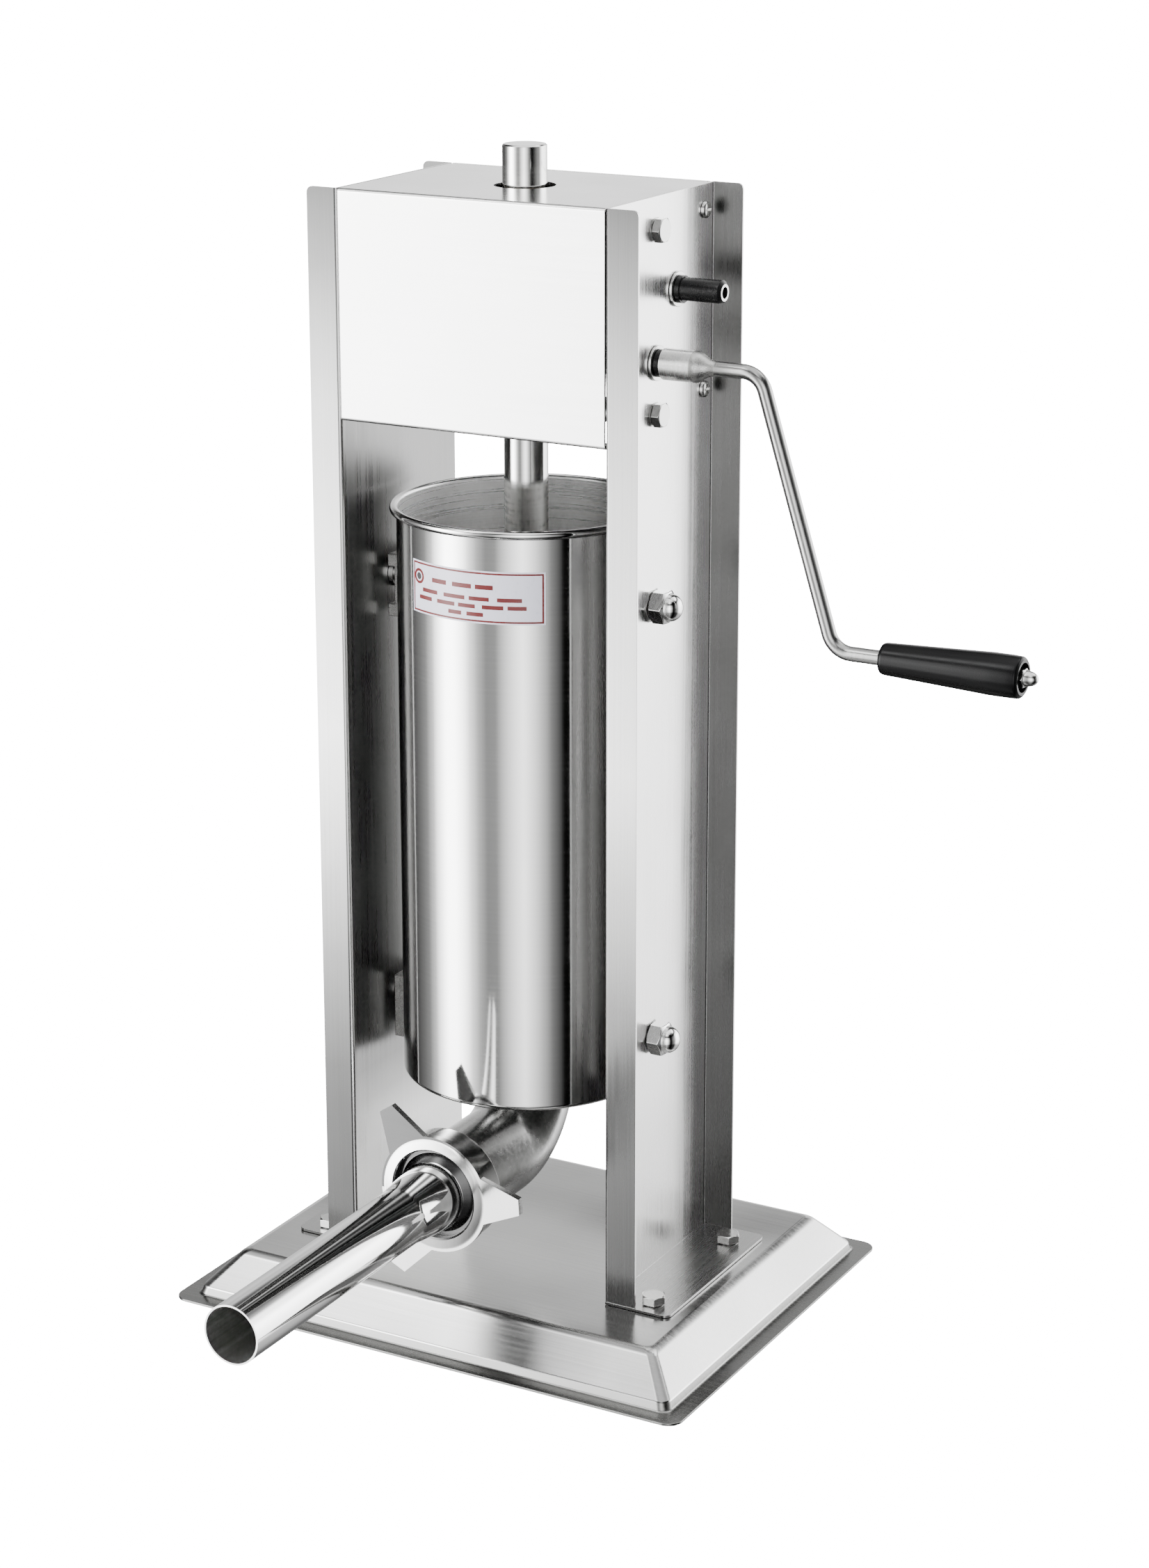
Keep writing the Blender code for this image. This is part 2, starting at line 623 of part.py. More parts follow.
# ---- rack bar and piston -------------------------------------------------------------------------
def rack_and_piston():
    low, high = PISTON_Z
    bar_profile = [
        (0.0070, low + 0.0018),
        (0.0080, low + 0.0028),
        (0.0080, high + GAP),
        (ROD_R, high + GAP),
        (ROD_R, ROD_TOP - 0.0008),
        (ROD_R - 0.0008, ROD_TOP),
    ]
    bar = add("rack_bar", turned(bar_profile, "Z", sides=20), PLATED)
    cut(bar, rack_cutter(FAST[1], RACK_RANGE[0], RACK_RANGE[1]), name="rack_teeth")

    groove = (low + 0.0070, low + 0.0152)
    bore = 0.0083
    piston_profile = [
        (bore, low + 0.0080),
        (0.0146, low + 0.0080),
        (0.0146, low),
        (PISTON_R - 0.0015, low),
        (PISTON_R, low + 0.0015),
        (PISTON_R, groove[0]),
        (PISTON_R - 0.0035, groove[0]),
        (PISTON_R - 0.0035, groove[1]),
        (PISTON_R, groove[1]),
        (PISTON_R, high - 0.001),
        (PISTON_R - 0.001, high),
        (PISTON_R - 0.0080, high),
        (PISTON_R - 0.0080, low + 0.0115),
        (0.0500, low + 0.0115),
        (0.0500, high),
        (bore, high),
    ]
    piston = add("piston", turned(piston_profile, sides=28, hollow=True), POLISHED)
    valve_at = (-0.036, 0, 0)
    cut(piston, hole("Z", valve_at, 0.0053, low - 0.01, high + 0.01, 16))

    inner = PISTON_R - 0.0035 + GAP
    outer = BORE_R - 0.0004
    seal_profile = [
        (inner, groove[0] + GAP),
        (outer, groove[0] + GAP),
        (outer, groove[1] - GAP),
        (inner, groove[1] - GAP),
    ]
    add("piston_seal", turned(seal_profile, sides=40, hollow=True), RUBBER)

    nut_z = (low + 0.0008, low + 0.0077)
    rings = [
        circle(0.0083, nut_z[0], sides=12),
        hexagon(0.024, nut_z[0], "Z", (0, 0, 0)),
        hexagon(0.024, nut_z[1], "Z", (0, 0, 0)),
        circle(0.0083, nut_z[1], sides=12),
    ]
    add("piston_nut", loft(rings, closed=True), PLATED)

    valve = [
        (0.0036, low + 0.0015),
        (0.0049, low + 0.0030),
        (0.0049, high + GAP),
        (0.0085, high + GAP),
        (0.0085, high + 0.0025),
        (0.0060, high + 0.0040),
    ]
    add("air_valve", turned(valve, "Z", valve_at, 16), RUBBER)


# ---- cylinder ------------------------------------------------------------------------------------
def cylinder():
    """The drawn tank, with a rolled rim outside its mouth and the outlet hole in its floor."""
    out = BORE_R + WALL
    floor = TANK_Z + 0.0012
    bead_r = (RIM_R - BORE_R) / 2
    bead_z = RIM_Z - bead_r
    middle = BORE_R + bead_r
    bead = []
    for i in range(7):
        t = math.pi - math.radians(270) * i / 6
        bead.append((middle + bead_r * math.cos(t), bead_z + bead_r * math.sin(t)))
    profile = [
        (OUTLET_R, floor),
        (BORE_R - 0.002, floor),
        (BORE_R, floor + 0.002),
        *bead,
        (out, bead_z - bead_r),
        (out, TANK_Z + 0.0030),
        (out - 0.0030, TANK_Z),
        (OUTLET_R, TANK_Z),
    ]
    add("cylinder", turned(profile, sides=40, hollow=True), BRUSHED)


def brackets():
    """Upper brackets hang on the pins by their top rail; lower ones are slotted hooks over the pins."""
    face = BORE_R + WALL + GAP
    for side, word in ((-1, "left"), (1, "right")):
        low = (side * 0.068, COLUMN_Y - 0.015)
        high = (side * 0.0812, COLUMN_Y + 0.015)
        x_pair = sorted((low[0], high[0]))
        upper = block((x_pair[0], low[1], 0.4098), (x_pair[1], high[1], 0.4470))
        bracket = add(f"{word}_upper_bracket", upper, PLATED)
        slot_x = sorted((side * 0.0768, side * 0.09))
        slot = block((slot_x[0], low[1] - 0.01, 0.4172), (slot_x[1], high[1] + 0.01, UPPER_PIN_Z + PIN_R + GAP))
        cut(bracket, hole("Z", (0, 0, 0.4), face, -0.02, 0.1, 40), name="tank_side")
        cut(bracket, slot, name="pin_way")

        lower = block((x_pair[0], low[1], 0.1480), (x_pair[1], high[1], 0.1870))
        hook = add(f"{word}_lower_bracket", lower, PLATED)
        way = [
            (COLUMN_Y + (PIN_R + GAP) * math.cos(t), LOWER_PIN_Z + (PIN_R + GAP) * math.sin(t))
            for t in [math.pi * i / 10 for i in range(11)]
        ]
        way += [(COLUMN_Y - PIN_R - GAP, 0.140), (COLUMN_Y + PIN_R + GAP, 0.140)]
        cut(hook, hole("Z", (0, 0, 0.15), face, -0.05, 0.1, 40), name="tank_side")
        cut(hook, extruded(way, *slot_x, "X"), name="pin_way")

        for level, z in (("upper", UPPER_PIN_Z), ("lower", LOWER_PIN_Z)):
            pin = turned(pin_profile(side), "X", (0, COLUMN_Y, z), 12)
            add(f"cylinder_pin_{word}_{level}", pin, PLATED)
            seat = (side * (PLATE_IN + SHEET + GAP), COLUMN_Y, z)
            nut = cap_nut("X", seat, side, 0.018, 0.009, 0.0165, PIN_R + GAP, 0.0125)
            add(f"cap_nut_{word}_{level}", nut, POLISHED)


def pin_profile(side):
    """A shouldered pin: its collar bears on the inside of the plate, and its thread runs out to the nut."""
    steps = [
        (PIN_R * 0.9, 0.0774),
        (PIN_R, 0.0780),
        (PIN_R, 0.0820),
        (0.0090, 0.0820),
        (0.0090, PLATE_IN - GAP),
        (PIN_R, PLATE_IN - GAP),
        (PIN_R, 0.0970),
        (PIN_R * 0.85, 0.0982),
    ]
    return [(r, side * x) for r, x in steps]


# ---- outlet --------------------------------------------------------------------------------------
def elbow_ring(radius, step, sides=18):
    """A ring of the elbow's wall: step runs from 0 at the tank, through 1 after the bend, and then out."""
    ring = []
    for i in range(sides):
        t = WHOLE_TURN * i / sides
        u, v = radius * math.cos(t), radius * math.sin(t)
        if step <= 1:
            turn = math.pi / 2 * step
            reach = ELBOW_R + v
            ring.append((u, -ELBOW_R + reach * math.cos(turn), TANK_Z - GAP - reach * math.sin(turn)))
        else:
            ring.append((u, -ELBOW_R - (step - 1), TANK_Z - GAP - ELBOW_R - v))
    return ring


def outlet():
    bends = [i / 6 for i in range(7)]
    collar = 1 + (-ELBOW_R + 0.0880)
    end = 1 + (-ELBOW_R - ELBOW_END)
    rings = [elbow_ring(ELBOW_OUT, step) for step in bends]
    rings += [elbow_ring(ELBOW_OUT, collar), elbow_ring(0.0289, collar), elbow_ring(0.0289, end)]
    rings += [elbow_ring(OUTLET_R, end)]
    rings += [elbow_ring(OUTLET_R, step) for step in reversed(bends)]
    add("outlet_elbow", loft(rings, closed=True), POLISHED)

    centre = (0, 0, OUTLET_Z)
    gasket = [(0.0256, -0.1050), (0.0286, -0.1050), (0.0286, -0.1038), (0.0256, -0.1038)]
    add("outlet_gasket", turned(gasket, "Y", centre, 20, hollow=True), RUBBER)

    nozzle_empty = pivot("nozzle_axis", centre)
    outer = [
        (0.0286, -0.1053),
        (0.0286, -0.1067),
        (0.0240, -0.1067),
        (0.0184, -0.1112),
        (0.0184, -0.1140),
        (0.0208, -0.1152),
        (0.0204, -0.1185),
        (0.0170, -0.1480),
        (0.0170, NOZZLE_END),
    ]
    inner = [(0.0160, NOZZLE_END), (0.0160, -0.1478), (0.0168, -0.1188), (0.0168, -0.1105), (0.0230, -0.1053)]
    nozzle = turned(outer + inner, "Y", centre, 20, hollow=True)
    add("nozzle", nozzle, POLISHED, nozzle_empty)
    add("wing_nut", wing_nut(centre), POLISHED, pivot("wing_nut_axis", centre))


def wing_nut(centre):
    """A three-winged union nut: a plate with a lip over the nozzle's flange, and a skirt behind it."""
    ring_r, tip_r, tip_half, taper = 0.0350, 0.0565, 0.0048, 0.40
    tip_angle = math.atan2(tip_half, tip_r)
    side_foot = tip_half + tip_r * taper
    root_angle = tip_angle
    while side_foot / (math.tan(root_angle) + taper) / math.cos(root_angle) > ring_r:
        root_angle += 0.004
    outline = []
    for wing in range(3):
        middle = math.radians(4) + WHOLE_TURN * wing / 3
        corner = math.hypot(tip_r, tip_half)
        outline += [(middle - root_angle, ring_r), (middle - tip_angle, corner)]
        outline += [(middle + tip_angle, corner), (middle + root_angle, ring_r)]
        span = WHOLE_TURN / 3 - 2 * root_angle
        outline += [(middle + root_angle + span * i / 4, ring_r) for i in range(1, 4)]

    def ring(radius, y):
        """Radius None keeps the winged outline."""
        points = []
        for t, r in outline:
            reach = radius or r
            points.append(place("Y", reach * math.cos(t), reach * math.sin(t), y, centre))
        return points

    back = NUT_FRONT + 0.0050
    rings = [
        ring(None, NUT_FRONT),
        ring(None, back),
        ring(0.0338, back),
        ring(0.0338, back + 0.0145),
        ring(0.0294, back + 0.0145),
        ring(0.0294, back),
        ring(0.0266, back),
        ring(0.0266, NUT_FRONT),
    ]
    return loft(rings, closed=True)


# ---- crank ---------------------------------------------------------------------------------------
def crank(slow_empty):
    y, z = SLOW
    socket_start = 0.0919
    socket_end = 0.1110
    path = [(0.1245, z), (CRANK_TURN, z), ARM_END, (GRIP_X[0] - GAP - 0.0010, ARM_END[1])]
    route = rounded(path, 0.014, steps=4)
    rings = [circle(0.0090, socket_start, "X", (0, y, z), 16), circle(0.0090, socket_end, "X", (0, y, z), 16)]
    for i, point in enumerate(route):
        before = route[max(i - 1, 0)]
        after = route[min(i + 1, len(route) - 1)]
        along = (after - before).normalized()
        across = Vector((-along.y, along.x))
        ring = []
        for k in range(16):
            t = WHOLE_TURN * k / 16
            spot = point + across * CRANK_ROD_R * math.sin(t)
            ring.append((spot.x, y + CRANK_ROD_R * math.cos(t), spot.y))
        rings.append(ring)
    stud = (0, y, ARM_END[1])
    rings += [circle(0.0062, GRIP_X[0] - GAP - 0.0010, "X", stud, 16)]
    rings += [circle(0.0062, GRIP_X[0] - GAP, "X", stud, 16), circle(0.0030, GRIP_X[0] - GAP, "X", stud, 16)]
    rings += [circle(0.0030, 0.3125, "X", stud, 16)]
    arm = add("crank_arm", loft(rings), PLATED, slow_empty)
    bore = drive_outline(SHAFT_R + 0.0003, 0.0058, (y, z), socket_start - 0.004, SLOW_END + 0.0008)
    cut(arm, bore, name="socket_bore")

    grip_empty = pivot("grip_axis", (GRIP_X[0], y, ARM_END[1]))
    start, end = GRIP_X
    grip_profile = [
        (0.0033, start),
        (0.0084, start),
        (0.0090, start + 0.0015),
        (0.0107, start + 0.040),
        (0.0118, start + 0.064),
        (0.0118, end - 0.010),
        (0.0106, end - 0.003),
        (0.0092, end),
        (0.0080, end),
        (0.0080, end - 0.0040),
        (0.0033, end - 0.0040),
    ]
    add("grip", turned(grip_profile, "X", stud, 16, hollow=True), PLASTIC, grip_empty)
    seat = (end - 0.0037, y, ARM_END[1])
    add("grip_nut", cap_nut("X", seat, 1, 0.010, 0.0050, 0.0120, 0.0033, 0.0075), PLATED, slow_empty)


base_pan()
base_bolts()
side_plate(-1, "left")
side_plate(1, "right")
covers()
frame_members()
bearing_plate()
bushes()
slow_axis = gear_train()
rack_and_piston()
cylinder()
brackets()
outlet()
crank(slow_axis)
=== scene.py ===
"""Looks of a two-speed vertical sausage stuffer of about five litres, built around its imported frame.

Metres, +Z up. Meshes are laid out around the tank's upright axis, and every piece is then placed at
CENTRE, which is that axis in the frame. The outlet looks along -Y and the crank is on the +X side.
"""

import math

import bmesh
import bpy
from mathutils import Matrix, Vector


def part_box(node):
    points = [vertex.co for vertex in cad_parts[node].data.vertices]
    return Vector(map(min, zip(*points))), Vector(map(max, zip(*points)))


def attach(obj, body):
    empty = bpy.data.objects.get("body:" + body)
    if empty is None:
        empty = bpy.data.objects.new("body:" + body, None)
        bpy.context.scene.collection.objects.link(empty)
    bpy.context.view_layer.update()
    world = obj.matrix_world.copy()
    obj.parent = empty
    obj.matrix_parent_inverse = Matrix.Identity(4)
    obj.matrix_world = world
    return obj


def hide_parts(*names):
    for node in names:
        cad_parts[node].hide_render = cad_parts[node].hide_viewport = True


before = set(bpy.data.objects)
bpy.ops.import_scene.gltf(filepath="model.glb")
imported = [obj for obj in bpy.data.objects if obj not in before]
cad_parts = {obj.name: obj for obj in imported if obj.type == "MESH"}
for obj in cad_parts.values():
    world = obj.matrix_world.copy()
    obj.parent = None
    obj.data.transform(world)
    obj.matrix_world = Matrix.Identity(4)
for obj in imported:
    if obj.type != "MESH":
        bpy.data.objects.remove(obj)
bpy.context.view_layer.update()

TURN = 2 * math.pi
SHEET = 0.0015                    # side plates, covers and base
GAP = 0.0003                      # between pieces that touch
WALL = 0.0010                     # wall of the tank
HEX, HEAD = 0.013, 0.0053         # the frame's bolts: across their flats, and the height of their heads
SHANK_R, HOLE_R = 0.0040, 0.0043
SCREW_HOLE_R = 0.0023
BUSH_HOLE_R = 0.0090

X, Y, Z = Vector((1, 0, 0)), Vector((0, 1, 0)), Vector((0, 0, 1))

# ---- places read from the frame ------------------------------------------------------------------
tank_low, tank_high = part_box("cylinder")
CENTRE = Vector(((tank_low.x + tank_high.x) / 2, (tank_low.y + tank_high.y) / 2, 0))


def low(node):
    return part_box(node)[0] - CENTRE


def high(node):
    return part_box(node)[1] - CENTRE


def middle(node):
    return (low(node) + high(node)) / 2


BASE_LOW, BASE_HIGH = low("base_pan"), high("base_pan")
DECK_TOP = BASE_HIGH.z
DECK_INSET = 0.0305               # from the brim's edge to the deck's edge
WALL_INSET = 0.0106               # from the brim's edge to the low wall at the foot of the slopes

PLATE_IN = low("right_side_plate").x
PLATE_OUT = PLATE_IN + SHEET + GAP
PLATE_BOTTOM = low("right_side_plate").z
PLATE_TOP = high("right_side_plate").z
FOOT_REACH = high("right_side_plate").x
FOOT_FRONT = low("right_side_plate").y
FOOT_REAR = high("right_side_plate").y
PLATE_FRONT = FOOT_FRONT + 0.0005
PLATE_REAR = FOOT_REAR - 0.0005
FLANGE = 0.0200
BEND = 0.0022
HOUSING_BOTTOM = low("rear_cover").z

COLUMN_Y = middle("frame_bolt_right_upper").y
BAR_Z = {level: middle(f"frame_bolt_right_{level}").z for level in ("upper", "lower")}
PIN_Z = {level: middle(f"cap_nut_right_{level}").z for level in ("upper", "lower")}
SCREW_Y = middle("cover_screw_right_upper").y
SCREW_Z = {level: middle(f"cover_screw_right_{level}").z for level in ("upper", "lower")}
PIN_R = 0.0060
FAST = middle("fast_bush_right")
SLOW = middle("slow_bush_right")
SHAFT_R = 0.0070

RIM_R = high("cylinder").x
RIM_Z = high("cylinder").z
TANK_Z = low("cylinder").z
BORE_R = RIM_R - 0.0048
PISTON_LOW, PISTON_HIGH = low("piston").z, high("piston").z
PISTON_R = high("piston").x

OUTLET_Z = middle("nozzle").z
OUTLET_R = 0.0252
ELBOW_R = 0.0410
ELBOW_OUT = 0.0270
COLLAR_R = 0.0289
ELBOW_END = low("outlet_elbow").y
NUT_FRONT = low("wing_nut").y
NOZZLE_END = low("nozzle").y
NOZZLE_BACK = high("nozzle").y

ARM_Z = middle("grip").z
GRIP_START, GRIP_END = low("grip").x, high("grip").x
CRANK_ROD_R = 0.0042


# ---- shapes --------------------------------------------------------------------------------------
def loft(rings, closed=False):
    """Skin a list of rings with equal point counts; the ends are capped unless it is closed."""
    bm = bmesh.new()
    rows = [[bm.verts.new(point) for point in ring] for ring in rings]
    pairs = list(zip(rows, rows[1:]))
    if closed:
        pairs.append((rows[-1], rows[0]))
    count = len(rows[0])
    for lower, upper in pairs:
        for i in range(count):
            j = (i + 1) % count
            bm.faces.new((lower[i], lower[j], upper[j], upper[i]))
    if not closed:
        bm.faces.new(list(reversed(rows[0])))
        bm.faces.new(rows[-1])
    bmesh.ops.recalc_face_normals(bm, faces=bm.faces)
    if bm.calc_volume(signed=True) < 0:
        bmesh.ops.reverse_faces(bm, faces=bm.faces)
    data = bpy.data.meshes.new("shape")
    bm.to_mesh(data)
    bm.free()
    return data


def rounded(path, radius, steps=6, closed=False):
    """Round each corner of a 2-D path, with a smaller radius where a side is too short for it.
    radius is one number, or one for each corner."""
    points = [Vector(p) for p in path]
    count = len(points)
    radii = radius if isinstance(radius, (list, tuple)) else [radius] * count
    out = []
    for i, corner in enumerate(points):
        if not closed and i in (0, count - 1):
            out.append(corner)
            continue
        a, b = points[i - 1] - corner, points[(i + 1) % count] - corner
        half = a.angle(b) / 2
        if half > math.radians(88) or radii[i] == 0:
            out.append(corner)
            continue
        reach = min(radii[i] / math.tan(half), 0.45 * a.length, 0.45 * b.length)
        bend = reach * math.tan(half)
        a.normalize()
        b.normalize()
        centre = corner + (a + b).normalized() * bend / math.sin(half)
        start, end = corner + a * reach - centre, corner + b * reach - centre
        sweep = start.angle_signed(end)
        out += [centre + Matrix.Rotation(-sweep * k / steps, 2) @ start for k in range(steps + 1)]
    return out


def parallel(path, distance):
    """An open 2-D path moved to its left by a distance."""
    moved = []
    for i, point in enumerate(path):
        before = (point - path[i - 1]).normalized() if i else None
        after = (path[i + 1] - point).normalized() if i + 1 < len(path) else None
        along = ((before or after) + (after or before)).normalized()
        normal = Vector((-along.y, along.x))
        side = before or after
        moved.append(point + normal * distance / normal.dot(Vector((-side.y, side.x))))
    return moved


def circle(radius, height, sides):
    turns = [TURN * i / sides for i in range(sides)]
    return [(radius * math.cos(t), radius * math.sin(t), height) for t in turns]


def turned(profile, sides=64, hollow=False, ease=0.0):
    """A piece turned about Z from (radius, height) pairs. A hollow one's profile closes on itself."""
    if ease:
        profile = rounded(profile, ease, 3, closed=hollow)
    return loft([circle(r, h, sides) for r, h in profile], closed=hollow)


def placed(data, spot, direction=Z):
    """Turn a mesh so that its +Z points along direction, and move its origin to spot."""
    turn = Vector(direction).to_track_quat("Z", "Y").to_matrix().to_4x4()
    data.transform(Matrix.Translation(spot) @ turn)
    return data


def prism(outline, start, end, axis="Z"):
    """An outline of (u, v) pairs swept along an axis; u and v are the other two axes in order."""
    def spot(u, v, along):
        return {"X": (along, u, v), "Y": (u, along, v), "Z": (u, v, along)}[axis]

    return loft([[spot(u, v, along) for u, v in outline] for along in (start, end)])


def block(corner, opposite):
    (x, y, start), (u, v, end) = corner, opposite
    return prism([(x, y), (u, y), (u, v), (x, v)], start, end)


def drill(spot, radius, back, forward, direction=Z, sides=40):
    """A round cutter through spot, from back to forward along direction."""
    return placed(turned([(radius, back), (radius, forward)], sides), spot, direction)


def hexagon(across, height, chamfer_r=None, sides=48):
    """A ring on a hexagon. With chamfer_r, the ring drops where the 30-degree chamfer cone cuts it."""
    ring = []
    for i in range(sides):
        t = TURN * i / sides
        off = (t + math.pi / 6) % (math.pi / 3) - math.pi / 6
        r = across / 2 / math.cos(math.pi / 6 - abs(off))
        drop = max(0.0, r - chamfer_r) * math.tan(math.radians(30)) if chamfer_r else 0.0
        ring.append((r * math.cos(t), r * math.sin(t), height - drop))
    return ring


def hex_bolt(across, head, shank_r, length):
    """A hexagon bolt along +Z, seated at 0, with a washer face under its head."""
    crown = across * 0.475
    rings = [
        circle(shank_r * 0.82, -length, 48),
        circle(shank_r, -length + shank_r * 0.25, 48),
        circle(shank_r, 0, 48),
        circle(across * 0.475, 0, 48),
        circle(across * 0.475, 0.0003, 48),
        hexagon(across, 0.0004),
        hexagon(across, head, crown),
        circle(crown, head, 48),
        circle(crown - 0.0007, head - 0.0001, 48),
    ]
    return loft(rings)


def cap_nut(across, hex_height, height, thread_r, depth):
    """An acorn nut along +Z, seated at 0, with a blind hole in its seat."""
    dome_r = across * 0.44
    rings = [
        circle(thread_r * 0.5, depth, 48),
        circle(thread_r, depth - thread_r * 0.4, 48),
        circle(thread_r, 0.0006, 48),
        circle(thread_r + 0.0006, 0, 48),
        circle(across * 0.475, 0, 48),
        [(x, y, -z) for x, y, z in hexagon(across, 0, across * 0.475)],
        hexagon(across, hex_height, across * 0.465),
        circle(across * 0.465, hex_height, 48),
        circle(dome_r, hex_height + 0.0002, 48),
    ]
    for i in range(1, 17):
        t = math.pi / 2 * i / 16.3
        rise = hex_height + 0.0002 + (height - hex_height - 0.0002) * math.sin(t)
        rings.append(circle(dome_r * math.cos(t) ** 0.85, rise, 48))
    return loft(rings)


def pan_screw(head_r, head, shank_r, length):
    """A pan-head screw along +Z with a cross recess."""
    profile = [(shank_r * 0.8, -length), (shank_r, -length + 0.0006), (shank_r, 0), (head_r, 0)]
    crown = (0, 0.3, 0.6, 0.9, 1.2, 1.4)
    profile += [(head_r * math.cos(t) ** 0.6, head * (0.35 + 0.65 * math.sin(t))) for t in crown]
    body = turned(profile, 40)
    arm, width = head_r * 0.62, head_r * 0.13
    slots = [block((-arm, -width, head * 0.45), (arm, width, head * 2))]
    slots.append(block((-width, -arm, head * 0.45), (width, arm, head * 2)))
    return carved(carved(body, slots[0]), slots[1])


def link(obj):
    bpy.context.scene.collection.objects.link(obj)


def joined(*meshes):
    bm = bmesh.new()
    for data in meshes:
        bm.from_mesh(data)
    data = bpy.data.meshes.new("bodies")
    bm.to_mesh(data)
    bm.free()
    return data


def carved(data, *tools, operation="DIFFERENCE"):
    """The mesh after a Boolean with the tools, as new mesh data."""
    target = bpy.data.objects.new("target", data)
    tool = bpy.data.objects.new("tool", joined(*tools))
    for obj in (target, tool):
        link(obj)
    step = target.modifiers.new("boolean", "BOOLEAN")
    step.operation = operation
    step.object = tool
    graph = bpy.context.evaluated_depsgraph_get()
    made = bpy.data.meshes.new_from_object(target.evaluated_get(graph))
    for obj in (target, tool):
        bpy.data.objects.remove(obj)
    made.materials.clear()
    return made


def merged(data, *others):
    return carved(data, *others, operation="UNION")


def piece(name, data, finish, stands_for=None, body="machine_frame", bevel=0.0, sharp=32):
    """Link one piece, let it ride on a body and stand for CAD nodes, and soften its edges.
    Normals weighted by area keep large faces flat up to the rounds beside them."""
    data.materials.append(finish)
    data.shade_smooth()
    data.set_sharp_from_angle(angle=math.radians(sharp))
    obj = bpy.data.objects.new(name, data)
    obj.location = CENTRE
    link(obj)
    if bevel:
        edge = obj.modifiers.new("edges", "BEVEL")
        edge.width = bevel
        edge.segments = 2
        edge.limit_method = "ANGLE"
        edge.angle_limit = math.radians(sharp)
    even = obj.modifiers.new("flat_faces", "WEIGHTED_NORMAL")
    even.keep_sharp = True
    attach(obj, body)
    if stands_for:
        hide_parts(*([stands_for] if isinstance(stands_for, str) else stands_for))
    return obj


def regrain(obj, finish, chosen):
    """Give the faces that chosen accepts a second finish."""
    obj.data.materials.append(finish)
    for face in obj.data.polygons:
        if chosen(face):
            face.material_index = len(obj.data.materials) - 1


def refined(node, finish, body="machine_frame", bevel=0.0003):
    """A CAD node's own shape with its flat faces made whole and its edges rounded."""
    bm = bmesh.new()
    bm.from_mesh(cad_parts[node].data)
    bmesh.ops.remove_doubles(bm, verts=bm.verts, dist=0.000002)
    bmesh.ops.dissolve_limit(bm, angle_limit=math.radians(1), verts=bm.verts, edges=bm.edges)
    bmesh.ops.translate(bm, verts=bm.verts, vec=-CENTRE)
    data = bpy.data.meshes.new(node)
    bm.to_mesh(data)
    bm.free()
    return piece(f"{node}_finished", data, finish, node, body, bevel)


# ---- materials -----------------------------------------------------------------------------------
ALONG_X, ALONG_Y, ALONG_Z = (5, 520, 520), (520, 5, 520), (520, 520, 5)
RINGS_Z, RINGS_X = (4, 4, 700), (700, 4, 4)


def nodes_for(name, roughness, metallic):
    made = bpy.data.materials.new(name)
    made.use_nodes = True
    shader = made.node_tree.nodes["Principled BSDF"]
    shader.inputs["Roughness"].default_value = roughness
    shader.inputs["Metallic"].default_value = metallic
    coordinates = made.node_tree.nodes.new("ShaderNodeTexCoord")
    return made, made.node_tree, shader, coordinates.outputs["Object"]


def noise(tree, vector, scale, detail=3.0, stretch=None):
    """A noise pattern on the object's own coordinates, stretched along one axis if asked."""
    if stretch:
        mapping = tree.nodes.new("ShaderNodeMapping")
        mapping.inputs["Scale"].default_value = stretch
        tree.links.new(vector, mapping.inputs["Vector"])
        vector = mapping.outputs["Vector"]
    texture = tree.nodes.new("ShaderNodeTexNoise")
    texture.inputs["Scale"].default_value = scale
    texture.inputs["Detail"].default_value = detail
    tree.links.new(vector, texture.inputs["Vector"])
    return texture.outputs["Fac"]


def spread(tree, value, low_value, high_value, start=0.3, end=0.7):
    """Map a pattern's middle range onto a pair of values."""
    ranged = tree.nodes.new("ShaderNodeMapRange")
    sockets = ("From Min", "From Max", "To Min", "To Max")
    for socket, number in zip(sockets, (start, end, low_value, high_value)):
        ranged.inputs[socket].default_value = number
    tree.links.new(value, ranged.inputs["Value"])
    return ranged.outputs["Result"]


def blended(tree, factor, first, second):
    """A mix of two colours, each fixed or from another node."""
    mix = tree.nodes.new("ShaderNodeMix")
    mix.data_type = "RGBA"
    for socket, colour in (("A", first), ("B", second)):
        if isinstance(colour, tuple):
            mix.inputs[socket].default_value = (*colour, 1)
        else:
            tree.links.new(colour, mix.inputs[socket])
    tree.links.new(factor, mix.inputs["Factor"])
    return mix.outputs["Result"]


def scaled(tree, colour, share):
    product = tree.nodes.new("ShaderNodeVectorMath")
    product.operation = "MULTIPLY"
    tree.links.new(colour, product.inputs[0])
    tree.links.new(share, product.inputs[1])
    return product.outputs["Vector"]


def graded(tree, value, marks):
    """A grey that follows a value from 0 to 1, through (place, brightness) marks."""
    ramp = tree.nodes.new("ShaderNodeValToRGB")
    elements = ramp.color_ramp.elements
    while len(elements) > 1:
        elements.remove(elements[-1])
    for i, (spot, bright) in enumerate(marks):
        mark = elements.new(spot) if i else elements[0]
        mark.position = spot
        mark.color = (bright, bright, bright, 1)
    tree.links.new(value, ramp.inputs["Fac"])
    return ramp.outputs["Color"]


def added(tree, first, second, operation="ADD"):
    maths = tree.nodes.new("ShaderNodeMath")
    maths.operation = operation
    for socket, value in zip(maths.inputs, (first, second)):
        if isinstance(value, (int, float)):
            socket.default_value = value
        else:
            tree.links.new(value, socket)
    return maths.outputs["Value"]


